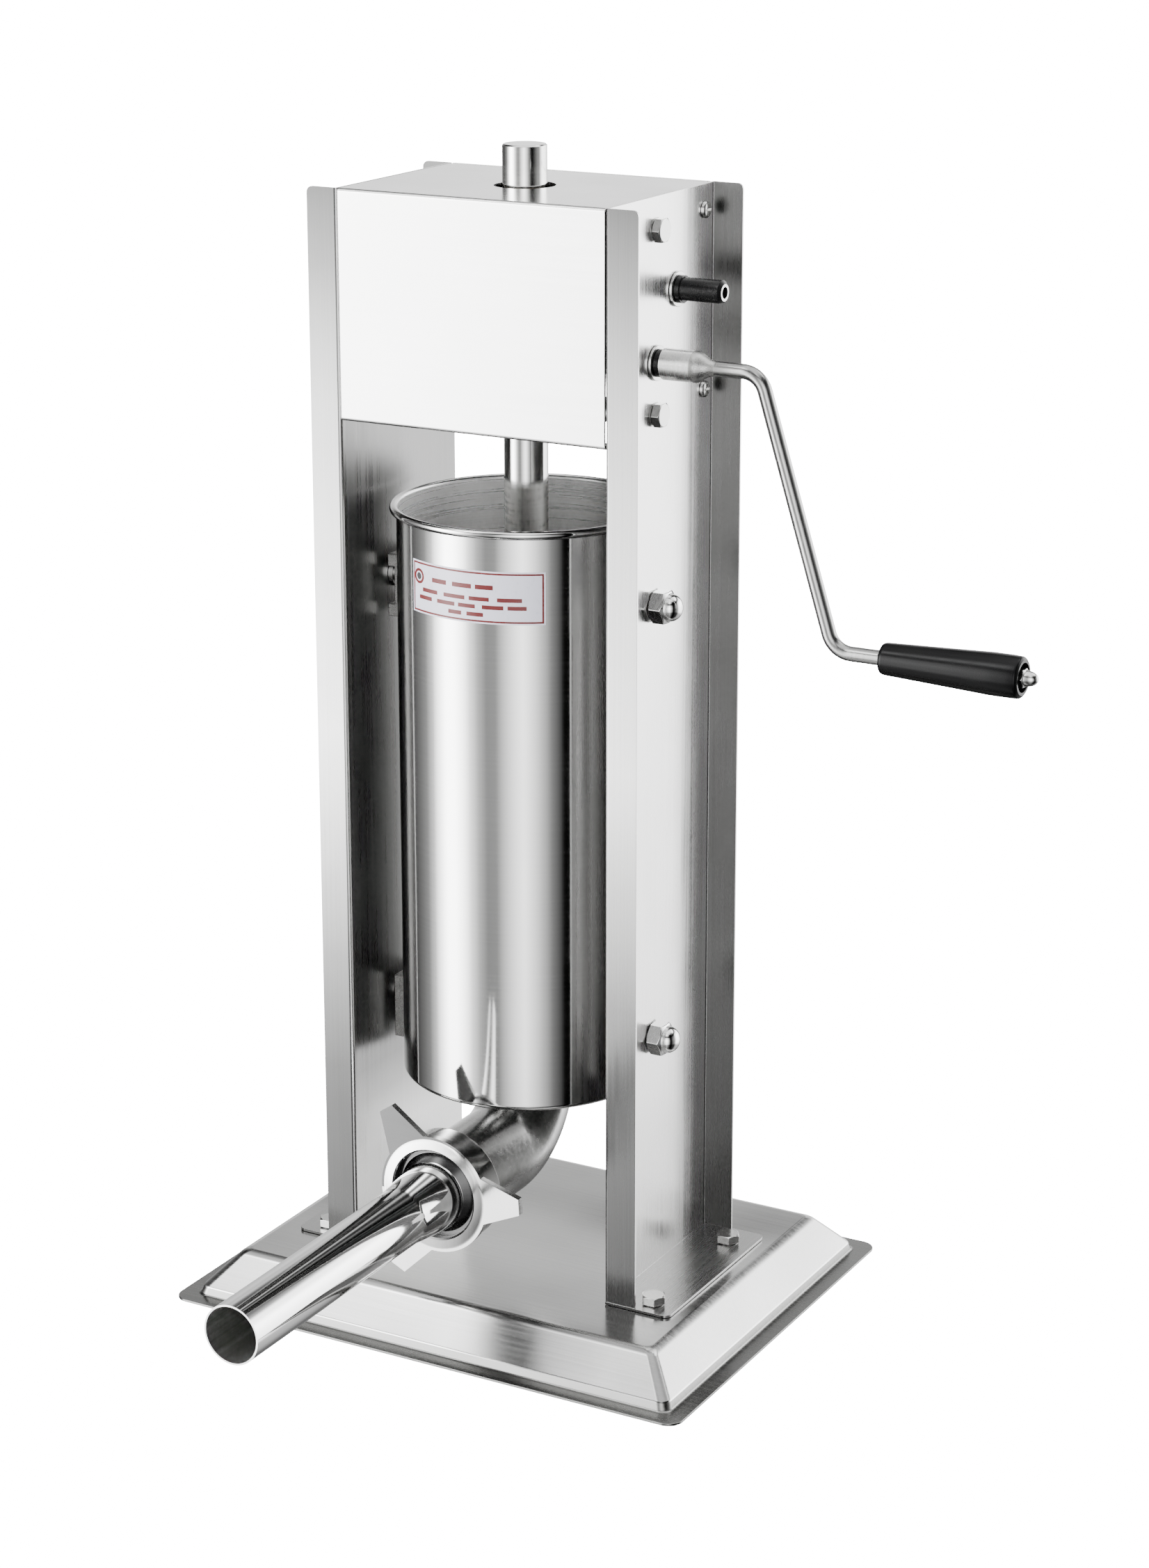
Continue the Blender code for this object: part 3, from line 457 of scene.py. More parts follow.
def bumped(tree, shader, *layers):
    """Stack (pattern, height in metres) pairs as bumps on the shader."""
    normal = None
    for pattern, depth in layers:
        bump = tree.nodes.new("ShaderNodeBump")
        bump.inputs["Distance"].default_value = depth
        tree.links.new(pattern, bump.inputs["Height"])
        if normal:
            tree.links.new(normal, bump.inputs["Normal"])
        normal = bump.outputs["Normal"]
    tree.links.new(normal, shader.inputs["Normal"])


def painted_reflection_along(tree, place, colour, painted_reflection, axis):
    """The colour times a share that follows one coordinate, from (place, share) pairs: painted reflection
    and shade along a sheet.
    """
    split = tree.nodes.new("ShaderNodeSeparateXYZ")
    tree.links.new(place, split.inputs["Vector"])
    start, end = painted_reflection[0][0], painted_reflection[-1][0]
    along = spread(tree, split.outputs[axis], 0, 1, start, end)
    shares = graded(tree, along, [((spot - start) / (end - start), share) for spot, share in painted_reflection])
    return scaled(tree, colour, shares)


def steel(
    name, tone, roughness, grain,
    streak=0.10, line=0.000012, wave=0.00010, wave_scale=9.0, painted_reflection=None, axis="Z",
):
    """Bare steel: fine lines along the grain, soft smears in its gloss, and sheet that isn't quite flat.
    An optional list of (place along the axis, share of the tone) darkens and brightens the tone along the
    sheet: painted reflection and shade."""
    made, tree, shader, place = nodes_for(name, roughness, 1.0)
    lines = noise(tree, place, 1.0, 4.0, grain)
    smears = noise(tree, place, 22.0, 4.0)
    waves = noise(tree, place, wave_scale, 1.0)
    dark, light = (tuple(c * (1 + side * streak) for c in tone) for side in (-1, 1))
    colour = blended(tree, spread(tree, lines, 0, 1, 0.25, 0.75), dark, light)
    tree.links.new(painted_reflection_along(tree, place, colour, painted_reflection, axis) if painted_reflection else colour, shader.inputs["Base Color"])
    gloss = spread(tree, lines, roughness * 0.82, roughness * 1.18)
    tree.links.new(added(tree, gloss, spread(tree, smears, -0.03, 0.03)), shader.inputs["Roughness"])
    bumped(tree, shader, (waves, wave), (lines, line))
    return made


def cast_metal(name, tone, roughness, metallic=1.0, grain=260.0, depth=0.00004):
    """Plated, sintered or oxidised metal: an even fine grain with darker patches."""
    made, tree, shader, place = nodes_for(name, roughness, metallic)
    fine = noise(tree, place, grain * 4, 3.0)
    patches = noise(tree, place, grain * 0.4, 4.0)
    dark = tuple(c * 0.78 for c in tone)
    light = tuple(min(1.0, c * 1.12) for c in tone)
    tree.links.new(blended(tree, spread(tree, patches, 0, 1), dark, light), shader.inputs["Base Color"])
    tree.links.new(spread(tree, fine, roughness * 0.8, roughness * 1.25), shader.inputs["Roughness"])
    bumped(tree, shader, (fine, depth))
    return made


def silicone(name):
    made, tree, shader, place = nodes_for(name, 0.48, 0.0)
    cloud = noise(tree, place, 60.0, 3.0)
    fine = noise(tree, place, 1500.0, 2.0)
    colour = blended(tree, cloud, (0.70, 0.69, 0.65), (0.80, 0.79, 0.76))
    tree.links.new(colour, shader.inputs["Base Color"])
    tree.links.new(spread(tree, fine, 0.40, 0.56), shader.inputs["Roughness"])
    shader.inputs["Subsurface Weight"].default_value = 0.12
    shader.inputs["Subsurface Radius"].default_value = (0.002, 0.002, 0.002)
    bumped(tree, shader, (fine, 0.00002))
    return made


def grip_plastic(name):
    """Black moulded plastic, glossy where hands have rubbed it."""
    made, tree, shader, place = nodes_for(name, 0.24, 0.0)
    rubbed = noise(tree, place, 70.0, 3.0)
    fine = noise(tree, place, 1400.0, 3.0)
    colour = blended(tree, rubbed, (0.0015, 0.0015, 0.0017), (0.004, 0.004, 0.0042))
    tree.links.new(colour, shader.inputs["Base Color"])
    tree.links.new(spread(tree, rubbed, 0.17, 0.30), shader.inputs["Roughness"])
    shader.inputs["Specular IOR Level"].default_value = 0.14
    bumped(tree, shader, (fine, 0.00001))
    return made


def printed(name, first, second, roughness):
    """Printed plastic film, with a faint unevenness in its ink."""
    made, tree, shader, place = nodes_for(name, roughness, 0.0)
    ink = noise(tree, place, 240.0, 4.0)
    tree.links.new(blended(tree, ink, first, second), shader.inputs["Base Color"])
    tree.links.new(spread(tree, ink, roughness * 0.85, roughness * 1.15), shader.inputs["Roughness"])
    bumped(tree, shader, (ink, 0.00001))
    return made


# Shares of a sheet's tone, as (place along its axis, share): painted reflection and shade, the dark and
# bright stretches that the sheets reflect.
FLANGE_PAINTED_REFLECTION = [
    (0.04, 0.12), (0.14, 0.16), (0.21, 0.30), (0.28, 0.62), (0.35, 1.0), (0.42, 0.85), (0.54, 0.58),
    (0.62, 0.26), (0.68, 0.10),
]
INNER_PAINTED_REFLECTION = [
    (0.04, 1.0), (0.085, 1.0), (0.115, 0.5), (0.135, 0.32), (0.17, 0.30), (0.22, 0.36), (0.68, 0.38),
]
WEB_PAINTED_REFLECTION = [(0.04, 0.62), (0.16, 0.78), (0.32, 0.86), (0.50, 1.0), (0.68, 1.0)]
SLOPE_PAINTED_REFLECTION = [
    (-0.21, 1.0), (0.01, 1.0), (0.035, 0.62), (0.062, 0.2), (0.09, 0.34), (0.114, 0.45), (0.16, 0.38),
    (0.21, 0.2),
]
DECK_PAINTED_REFLECTION = [(-0.20, 0.55), (-0.17, 0.7), (-0.12, 1.0), (0.20, 1.0)]
BORE_PAINTED_REFLECTION = [(-0.074, 1.0), (-0.030, 1.0), (-0.008, 0.8), (0.014, 0.40), (0.040, 0.70), (0.074, 1.0)]

# The web's tone runs darker towards the bottom: painted reflection and shade.
plate_steel = steel(
    "plate_steel", (0.84, 0.84, 0.835), 0.27, ALONG_Z,
    streak=0.05, line=0.000006, wave=0.0003, wave_scale=7, painted_reflection=WEB_PAINTED_REFLECTION,
)
# The front flanges: a darker tone, dark at both ends and bright in the middle, is painted reflection.
flange_painted_reflection_steel = steel(
    "flange_painted_reflection_steel", (0.52, 0.52, 0.515), 0.26, ALONG_Z, streak=0.06, wave=0.00004, painted_reflection=FLANGE_PAINTED_REFLECTION,
)
# The webs' inner faces: a darker tone, darker still behind the front edge, is painted shade and reflection.
inner_painted_shade_steel = steel(
    "inner_painted_shade_steel", (0.50, 0.50, 0.495), 0.30, ALONG_Z,
    streak=0.05, line=0.000006, wave=0.0003, wave_scale=7, painted_reflection=INNER_PAINTED_REFLECTION,
)
# The near-black tone on the rear flanges' forward-looking faces is painted shade.
rear_painted_shade_steel = steel(
    "rear_painted_shade_steel", (0.10, 0.10, 0.099), 0.28, ALONG_Z, streak=0.06, line=0.000006, wave=0.00004,
)
cover_steel = steel(
    "cover_steel", (0.84, 0.84, 0.835), 0.20, ALONG_X, streak=0.05, wave=0.00008, wave_scale=8,
)
# The foot's grain along Y is the sheet's own; its darker tone than the web is painted shade.
foot_painted_shade_steel = steel("foot_painted_shade_steel", (0.48, 0.48, 0.475), 0.27, ALONG_Y)
slope_steel = steel(
    "slope_steel", (0.66, 0.66, 0.655), 0.24, ALONG_X, streak=0.08, wave=0.0040, wave_scale=7,
)
# Across the front slope the tone falls into dark and bright bands: painted reflection.
front_painted_reflection_steel = steel(
    "front_painted_reflection_steel", (0.70, 0.70, 0.695), 0.20, ALONG_X,
    streak=0.08, wave=0.0020, wave_scale=7, painted_reflection=SLOPE_PAINTED_REFLECTION, axis="X",
)
# The deck's darker tone, darker still near its front edge, is painted reflection and shade.
deck_painted_reflection_steel = steel(
    "deck_painted_reflection_steel", (0.47, 0.47, 0.465), 0.20, ALONG_X,
    streak=0.09, wave=0.0100, wave_scale=6, painted_reflection=DECK_PAINTED_REFLECTION, axis="Y",
)
# The brim's and low wall's dark tone is painted shade.
brim_painted_shade_steel = steel(
    "brim_painted_shade_steel", (0.24, 0.24, 0.235), 0.26, ALONG_X, streak=0.13, wave=0.00012, wave_scale=10,
)
tank_steel = steel(
    "tank_steel", (0.66, 0.66, 0.655), 0.085, RINGS_Z, streak=0.02, line=0.000003, wave=0.00004,
)
# The bore's tone dips to a dark band just right of its middle: painted reflection and shade.
bore_steel = steel(
    "bore_steel", (0.94, 0.94, 0.935), 0.30, RINGS_Z, streak=0.06, line=0.00003, painted_reflection=BORE_PAINTED_REFLECTION, axis="X",
)
bore_steel.node_tree.nodes["Principled BSDF"].inputs["Metallic"].default_value = 0.6
tube_steel = steel(
    "tube_steel", (0.74, 0.74, 0.735), 0.34, RINGS_Z, streak=0.12, line=0.00001,
)
# Near-black steel inside the nut and on the nozzle's cone behind it: painted shade in the recess.
recess_painted_shade_steel = steel(
    "recess_painted_shade_steel", (0.10, 0.10, 0.10), 0.22, RINGS_Z, streak=0.05, line=0.000004,
)
socket_steel = steel(
    "socket_steel", (0.84, 0.84, 0.83), 0.28, RINGS_X,
    streak=0.03, line=0.000003, wave=0.00003, wave_scale=40,
)
nut_steel = steel(
    "nut_steel", (0.66, 0.66, 0.655), 0.13, ALONG_Z,
    streak=0.04, line=0.000003, wave=0.00010, wave_scale=22,
)
mirror_steel = steel(
    "mirror_steel", (0.80, 0.80, 0.795), 0.055, ALONG_Y,
    streak=0.03, line=0.000002, wave=0.00005, wave_scale=16,
)
bolt_steel = steel(
    "bolt_steel", (0.64, 0.64, 0.63), 0.20, ALONG_Z,
    streak=0.05, line=0.000004, wave=0.00002, wave_scale=60,
)
rod_steel = steel(
    "rod_steel", (0.72, 0.72, 0.71), 0.11, RINGS_Z, streak=0.05, line=0.000003, wave=0.00001,
)
crank_steel = steel(
    "crank_steel", (0.34, 0.34, 0.335), 0.24, RINGS_X,
    streak=0.05, line=0.000003, wave=0.00002, wave_scale=30,
)
black_steel = cast_metal("oxide_steel", (0.004, 0.004, 0.0045), 0.30, 0.0)
black_steel.node_tree.nodes["Principled BSDF"].inputs["Specular IOR Level"].default_value = 0.30
gear_steel = cast_metal("sintered_steel", (0.36, 0.36, 0.37), 0.36)
bronze = cast_metal("bearing_bronze", (0.55, 0.37, 0.18), 0.38)
rubber = silicone("food_silicone")
plastic = grip_plastic("grip_plastic")
film = printed("label_film", (0.66, 0.66, 0.76), (0.72, 0.72, 0.82), 0.30)
red_ink = printed("label_ink", (0.10, 0.007, 0.007), (0.14, 0.010, 0.010), 0.40)
dark_ink = printed("label_dark_ink", (0.02, 0.02, 0.02), (0.05, 0.05, 0.05), 0.40)
elbow_steel = cast_metal(
    "elbow_steel", (0.44, 0.44, 0.435), 0.22, grain=90.0, depth=0.000006,
)
weld_steel = cast_metal(
    "weld_steel", (0.50, 0.50, 0.49), 0.30, grain=420.0, depth=0.00016,
)


# ---- base ----------------------------------------------------------------------------------------
def base_pan():
    """A pressed pan: soft slopes that end in a low upright wall, and a thin flat brim."""
    size = BASE_HIGH - BASE_LOW
    centre = middle("base_pan")
    corner_r = 0.0065
    slope = [
        (DECK_INSET + 0.014, DECK_TOP),
        (DECK_INSET, DECK_TOP),
        (WALL_INSET + 0.0016, 0.0066),
        (WALL_INSET, SHEET),
        (0.0, SHEET),
    ]
    top = rounded(slope, [0, 0.0085, 0.0030, 0.0016, 0], 8)
    under = [p for p in parallel(top, SHEET) if p.x >= 0]
    under[-1].x = 0

    def ring(inset, z):
        if inset < WALL_INSET:
            radius = corner_r + max(0.0, 0.0045 - inset) * 0.6
        else:
            radius = corner_r - 0.0015 * (inset - WALL_INSET) / 0.02
        wide, deep = size.x / 2 - inset, size.y / 2 - inset
        points = []
        for quarter in range(4):
            side_x = 1 if quarter in (0, 3) else -1
            side_y = 1 if quarter in (0, 1) else -1
            for i in range(9):
                t = TURN / 4 * (quarter + i / 8)
                x = centre.x + side_x * (wide - radius) + radius * math.cos(t)
                y = centre.y + side_y * (deep - radius) + radius * math.sin(t)
                points.append((x, y, z))
        return points

    shell = loft([ring(*p) for p in top] + [ring(*p) for p in reversed(under)])
    bolts = [middle(f"base_bolt_{word}_{end}") for word in ("left", "right") for end in ("front", "rear")]
    nut_z = DECK_TOP - SHEET - 0.006
    nuts = [placed(loft([hexagon(HEX, 0), hexagon(HEX, 0.0064)]), (b.x, b.y, nut_z)) for b in bolts]
    shell = merged(shell, *nuts)
    shell = carved(shell, *[drill((b.x, b.y, DECK_TOP), HOLE_R, -0.02, 0.01) for b in bolts])
    tray = piece("pressed_base", shell, slope_steel, "base_pan", bevel=0.00025)
    # The deck takes the painted reflection and shade.
    regrain(tray, deck_painted_reflection_steel, lambda face: face.center.z > DECK_TOP - 0.0002 and face.normal.z > 0.99)
    # The front slope takes the painted reflection.
    regrain(tray, front_painted_reflection_steel, lambda face: face.normal.y < -0.3 and 0.2 < face.normal.z < 0.95)
    # The brim and the low wall take the painted shade.
    wall_top = 0.0062
    regrain(tray, brim_painted_shade_steel, lambda face: face.center.z < wall_top)


def base_bolts():
    for word in ("left", "right"):
        for end in ("front", "rear"):
            node = f"base_bolt_{word}_{end}"
            spot = middle(node)
            spot.z = high(node).z - HEAD
            data = placed(hex_bolt(HEX, HEAD, SHANK_R, 0.014), spot)
            piece(f"{node}_turned", data, bolt_steel, node, bevel=0.0002)


# ---- side plates ---------------------------------------------------------------------------------
def folded_outline(path):
    outer = rounded(path, BEND, 6)
    return outer + list(reversed(parallel(outer, SHEET)))


def side_plate(side, word):
    reach = PLATE_IN + FLANGE
    path = [(side * reach, PLATE_FRONT), (side * PLATE_IN, PLATE_FRONT)]
    path += [(side * PLATE_IN, PLATE_REAR), (side * reach, PLATE_REAR)]
    if side > 0:
        path.reverse()
    channel = prism(folded_outline(path), PLATE_BOTTOM, PLATE_TOP)
    near = PLATE_IN + SHEET * 0.5
    foot = [(near, FOOT_FRONT), (FOOT_REACH, FOOT_FRONT), (FOOT_REACH, FOOT_REAR), (near, FOOT_REAR)]
    foot = [(side * p.x, p.y) for p in rounded(foot, [0, 0.005, 0.005, 0], 8)]
    plate = merged(channel, prism(foot, PLATE_BOTTOM, PLATE_BOTTOM + SHEET))

    corner_r = 0.0035
    inner = Vector((side * (reach - corner_r), PLATE_TOP - corner_r))
    turns = [TURN / 4 * i / 8 for i in range(9)]
    arc = [inner + corner_r * Vector((side * math.sin(t), math.cos(t))) for t in turns]
    out, up = side * (reach + 0.004), PLATE_TOP + 0.004
    tip = [(out, inner.y), (out, up), (inner.x, up)]
    trim = prism([(p[0], p[1]) for p in [*arc, *tip]], PLATE_FRONT - 0.01, PLATE_REAR + 0.01, "Y")

    holes = [(COLUMN_Y, z, HOLE_R) for z in BAR_Z.values()]
    holes += [(COLUMN_Y, z, PIN_R + GAP) for z in PIN_Z.values()]
    holes += [(SCREW_Y, z, SCREW_HOLE_R) for z in SCREW_Z.values()]
    holes += [(place.y, place.z, BUSH_HOLE_R) for place in ((FAST, SLOW) if side > 0 else (FAST,))]
    tools = [drill((side * PLATE_IN, y, z), r, -0.004, 0.006, X * side) for y, z, r in holes]
    for end in ("front", "rear"):
        bolt = middle(f"base_bolt_{word}_{end}")
        tools.append(drill((bolt.x, bolt.y, PLATE_BOTTOM), HOLE_R, -0.004, 0.006))
    plate = carved(plate, trim, *tools)
    folded = piece(f"{word}_plate_folded", plate, plate_steel, f"{word}_side_plate", bevel=0.0003)
    # Inner faces of the web take the painted shade.
    regrain(folded, inner_painted_shade_steel, lambda face: face.normal.x * side < -0.9)
    # Front flange faces take the painted reflection.
    regrain(folded, flange_painted_reflection_steel, lambda face: face.normal.y < -0.9 and face.center.y < PLATE_FRONT + 0.002)
    # Rear flange faces that look forward take the painted shade.
    regrain(folded, rear_painted_shade_steel, lambda face: face.normal.y < -0.9 and face.center.y > PLATE_REAR - 0.004)
    foot_z = PLATE_BOTTOM + 0.004
    # The foot's flat faces take the painted shade.
    regrain(folded, foot_painted_shade_steel, lambda face: face.center.z < foot_z and abs(face.normal.z) > 0.9)


def frame_bolts():
    for word, side in (("left", -1), ("right", 1)):
        face_x, outward = side * PLATE_OUT, X * side
        for level, z in BAR_Z.items():
            node = f"frame_bolt_{word}_{level}"
            data = placed(hex_bolt(HEX, HEAD, SHANK_R, 0.020), (face_x, COLUMN_Y, z), outward)
            piece(f"{node}_turned", data, bolt_steel, node, bevel=0.0002)
        for level, z in SCREW_Z.items():
            node = f"cover_screw_{word}_{level}"
            data = placed(pan_screw(0.0048, 0.0026, 0.0020, 0.010), (face_x, SCREW_Y, z), outward)
            piece(f"{node}_cross_recess", data, bolt_steel, node)
        for level, z in PIN_Z.items():
            node = f"cap_nut_{word}_{level}"
            nut = cap_nut(0.018, 0.009, 0.0165, PIN_R + GAP, 0.0125)
            data = placed(nut, (face_x, COLUMN_Y, z), outward)
            piece(f"{node}_domed", data, mirror_steel, node, bevel=0.00025)


# ---- gear housing --------------------------------------------------------------------------------
def covers():
    wide = PLATE_IN - 0.0004
    path = [
        (high("front_top_cover").y, PLATE_TOP - 0.014),
        (high("front_top_cover").y, PLATE_TOP),
        (PLATE_FRONT, PLATE_TOP),
        (PLATE_FRONT, HOUSING_BOTTOM),
        (PLATE_FRONT + 0.012, HOUSING_BOTTOM),
    ]
    bar_way = drill((0, 0, PLATE_TOP), 0.0175, -0.005, 0.005, sides=72)
    cover = carved(prism(folded_outline(path), -wide, wide, "X"), bar_way)
    piece("front_cover_folded", cover, cover_steel, "front_top_cover", bevel=0.00025)

    lip = 0.0220
    path = [(wide, PLATE_REAR - lip), (wide, PLATE_REAR), (-wide, PLATE_REAR), (-wide, PLATE_REAR - lip)]
    rear = prism(folded_outline(path), HOUSING_BOTTOM, PLATE_TOP)
    out, back = wide + 0.001, PLATE_REAR - 0.0019
    top_way = block((-out, PLATE_REAR - 0.030, PLATE_TOP - 0.0020), (out, back, PLATE_TOP + 0.02))
    lip_way = block((-out, PLATE_REAR - 0.0042, PLATE_TOP - 0.0145), (out, back, PLATE_TOP + 0.01))
    spots = [(side, z) for side in (-1, 1) for z in SCREW_Z.values()]
    holes = [drill((s * wide, SCREW_Y, z), SCREW_HOLE_R, -0.004, 0.004, X * s) for s, z in spots]
    rear = carved(carved(carved(rear, top_way), lip_way), *holes)
    piece("rear_cover_folded", rear, cover_steel, "rear_cover", bevel=0.00025)


def bushes():
    for node, side, length, flange in (
        ("fast_bush_right", 1, 0.0080, 0.0015),
        ("slow_bush_right", 1, 0.0080, 0.0015),
        ("fast_bush_left", -1, 0.0080, 0.0015),
        ("fast_bush_inner", 1, 0.0046, 0.0012),
        ("slow_bush_inner", 1, 0.0046, 0.0012),
    ):
        bore = SHAFT_R + GAP
        profile = [(0.0087, -length), (0.0087, 0), (0.0100, 0), (0.0100, flange)]
        profile += [(bore, flange), (bore, -length)]
        spot = middle(node)
        spot.x = (high(node).x if side > 0 else low(node).x) - side * flange
        data = placed(turned(profile, 64, hollow=True, ease=0.0003), spot, X * side)
        piece(f"{node}_turned", data, bronze if "inner" in node else bolt_steel, node)
    for level, z in BAR_Z.items():
        outer, inner, half = 0.0160, 0.01315, 0.0095
        profile = [(outer, -half), (outer, half), (inner, half), (inner, -half)]
        data = placed(turned(profile, 80, hollow=True, ease=0.0003), (0, 0, z))
        piece(f"{level}_guide_bush_turned", data, bronze, f"{level}_guide_bush")
        spot = (0.0306, middle("bearing_screw_upper").y, z)
        data = placed(pan_screw(0.0045, 0.003, 0.0025, 0.0085), spot, X)
        piece(f"bearing_screw_{level}_cross_recess", data, bolt_steel, f"bearing_screw_{level}")
        refined(f"{level}_cross_bar", gear_steel, bevel=0.0005)
    refined("bearing_plate", gear_steel, bevel=0.0004)


def shaft(node, place, has_pinion):
    """A blackened shaft with a collar, a drive flat and a bright chamfered end with a centre hole.
    The pinion that drives the rack keeps the frame's own teeth."""
    start, end = low(node).x, high(node).x
    collar = PLATE_OUT + 0.0015 + GAP
    spot = Vector((0, place.y, place.z))
    profile = [
        (SHAFT_R * 0.9, start), (SHAFT_R, start + 0.0006), (SHAFT_R, collar), (0.0078, collar),
        (0.0078, collar + 0.0026), (SHAFT_R - 0.0001, collar + 0.0026), (SHAFT_R - 0.0001, end - 0.0016),
        (0.0048, end),
    ]
    rod = placed(turned(profile, 64), spot, X)
    flat = place.z - 0.0055
    cut_flat = block((collar + 0.0030, place.y - 0.009, flat - 0.004), (end + 0.002, place.y + 0.009, flat))
    centre_hole = placed(turned([(0.0030, end - 0.0050), (0.0034, end + 0.001)], 40), spot, X)
    rod = carved(rod, cut_flat, centre_hole)
    if has_pinion:
        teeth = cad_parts[node].data.copy()
        teeth.transform(Matrix.Translation(-CENTRE))
        reach = 0.0135
        near, far = (Vector((s * 0.02, place.y + s * reach, place.z + s * reach)) for s in (-1, 1))
        teeth = carved(teeth, block(near, far), operation="INTERSECT")
        rod = merged(rod, teeth)
    made = piece(f"{node}_turned", rod, black_steel, node, node, 0.00012)
    regrain(made, bolt_steel, lambda face: face.normal.x > 0.9 and face.center.x > end - 0.002)


def gears():
    refined("large_gear", gear_steel, "fast_shaft", 0.00012)
    refined("small_gear", gear_steel, "slow_shaft", 0.00012)
    shaft("fast_shaft", FAST, True)
    shaft("slow_shaft", SLOW, False)


# ---- rack bar, piston and tank -------------------------------------------------------------------
def piston_group():
    low_z, high_z = PISTON_LOW, PISTON_HIGH
    groove = (low_z + 0.0070, low_z + 0.0152)
    profile = [
        (0.0083, low_z + 0.0080),
        (0.0146, low_z + 0.0080),
        (0.0146, low_z),
        (PISTON_R, low_z),
        (PISTON_R, groove[0]),
        (PISTON_R - 0.0035, groove[0]),
        (PISTON_R - 0.0035, groove[1]),
        (PISTON_R, groove[1]),
        (PISTON_R, high_z),
        (PISTON_R - 0.0080, high_z),
        (PISTON_R - 0.0080, low_z + 0.0115),
        (0.0500, low_z + 0.0115),
        (0.0500, high_z),
        (0.0083, high_z),
    ]
    valve_at = middle("air_valve")
    valve_way = drill((valve_at.x, valve_at.y, low_z), 0.0053, -0.01, 0.04)
    body = carved(turned(profile, 128, True, 0.0010), valve_way)
    piece("piston_turned", body, tank_steel, "piston", "rack")

    inner, outer = PISTON_R - 0.0035 + GAP, high("piston_seal").x
    seal_low, seal_high = groove[0] + GAP, groove[1] - GAP
    seal = [(inner, seal_low), (outer, seal_low), (outer, seal_high), (inner, seal_high)]
    piece("piston_seal_ring", turned(seal, 128, True, 0.0010), rubber, "piston_seal", "rack")

    start, end = low("piston_nut").z, high("piston_nut").z
    bore, across = 0.0083, 0.024
    rings = [circle(bore, start, 48), hexagon(across, start), hexagon(across, end), circle(bore, end, 48)]
    piece("piston_nut_chamfered", loft(rings, closed=True), bolt_steel, "piston_nut", "rack", 0.0004)

    z = low("air_valve").z
    valve = [(0.0036, z), (0.0049, z + 0.0015), (0.0049, high_z + GAP), (0.0085, high_z + GAP)]
    valve += [(0.0085, high_z + 0.0025), (0.0060, high_z + 0.0040)]
    data = placed(turned(valve, 48, ease=0.0006), (valve_at.x, valve_at.y, 0))
    piece("air_valve_moulded", data, rubber, "air_valve", "air_valve")


def rack_bar():
    """The bar and the teeth behind it keep the frame's own shape."""
    refined("rack_bar", rod_steel, "rack", 0.00015)


def tank():
    out = BORE_R + WALL
    bead_r = (RIM_R - BORE_R) / 2
    bead_z = RIM_Z - bead_r
    bead = []
    for i in range(28):
        t = math.pi - math.radians(300) * i / 27
        bead.append((BORE_R + bead_r + bead_r * math.cos(t), bead_z + bead_r * math.sin(t)))
    floor = TANK_Z + 0.0012
    lower = rounded([(out, bead_z - bead_r), (out, TANK_Z), (OUTLET_R, TANK_Z)], 0.0034, 8)
    upper = rounded([(OUTLET_R, floor), (BORE_R, floor), (BORE_R, bead_z)], 0.0024, 8)
    shell = turned(upper[:-1] + [Vector(p) for p in bead] + lower, 192, hollow=True)
    drawn = piece("tank_drawn", shell, tank_steel, "cylinder", sharp=40)

    def inside(face):
        across = Vector((face.center.x, face.center.y, 0))
        inward = across.length < BORE_R + 0.0003 and face.normal.dot(across) <= 0
        return inward and face.center.z > TANK_Z + 0.0008

    # The bore takes the painted reflection and shade.
    regrain(drawn, bore_steel, inside)


LABEL_AT = -TURN / 4 + math.radians(4.6)     # the way the label faces


def bent_patch(name, finish, span, heights, lift, thickness=0.00008):
    """Thin films on the tank's front, as rectangles: arc lengths from the label's middle, and heights."""
    inner_r = BORE_R + WALL + lift
    films = []
    for (start, end), (bottom, top) in zip(span, heights):
        steps = max(2, int(abs(end - start) / 0.0012))
        outline = []
        for r, order in ((inner_r, range(steps + 1)), (inner_r + thickness, range(steps, -1, -1))):
            for i in order:
                t = LABEL_AT + (start + (end - start) * i / steps) / inner_r
                outline.append((r * math.cos(t), r * math.sin(t)))
        films.append(prism(outline, bottom, top))
    piece(name, joined(*films), finish)


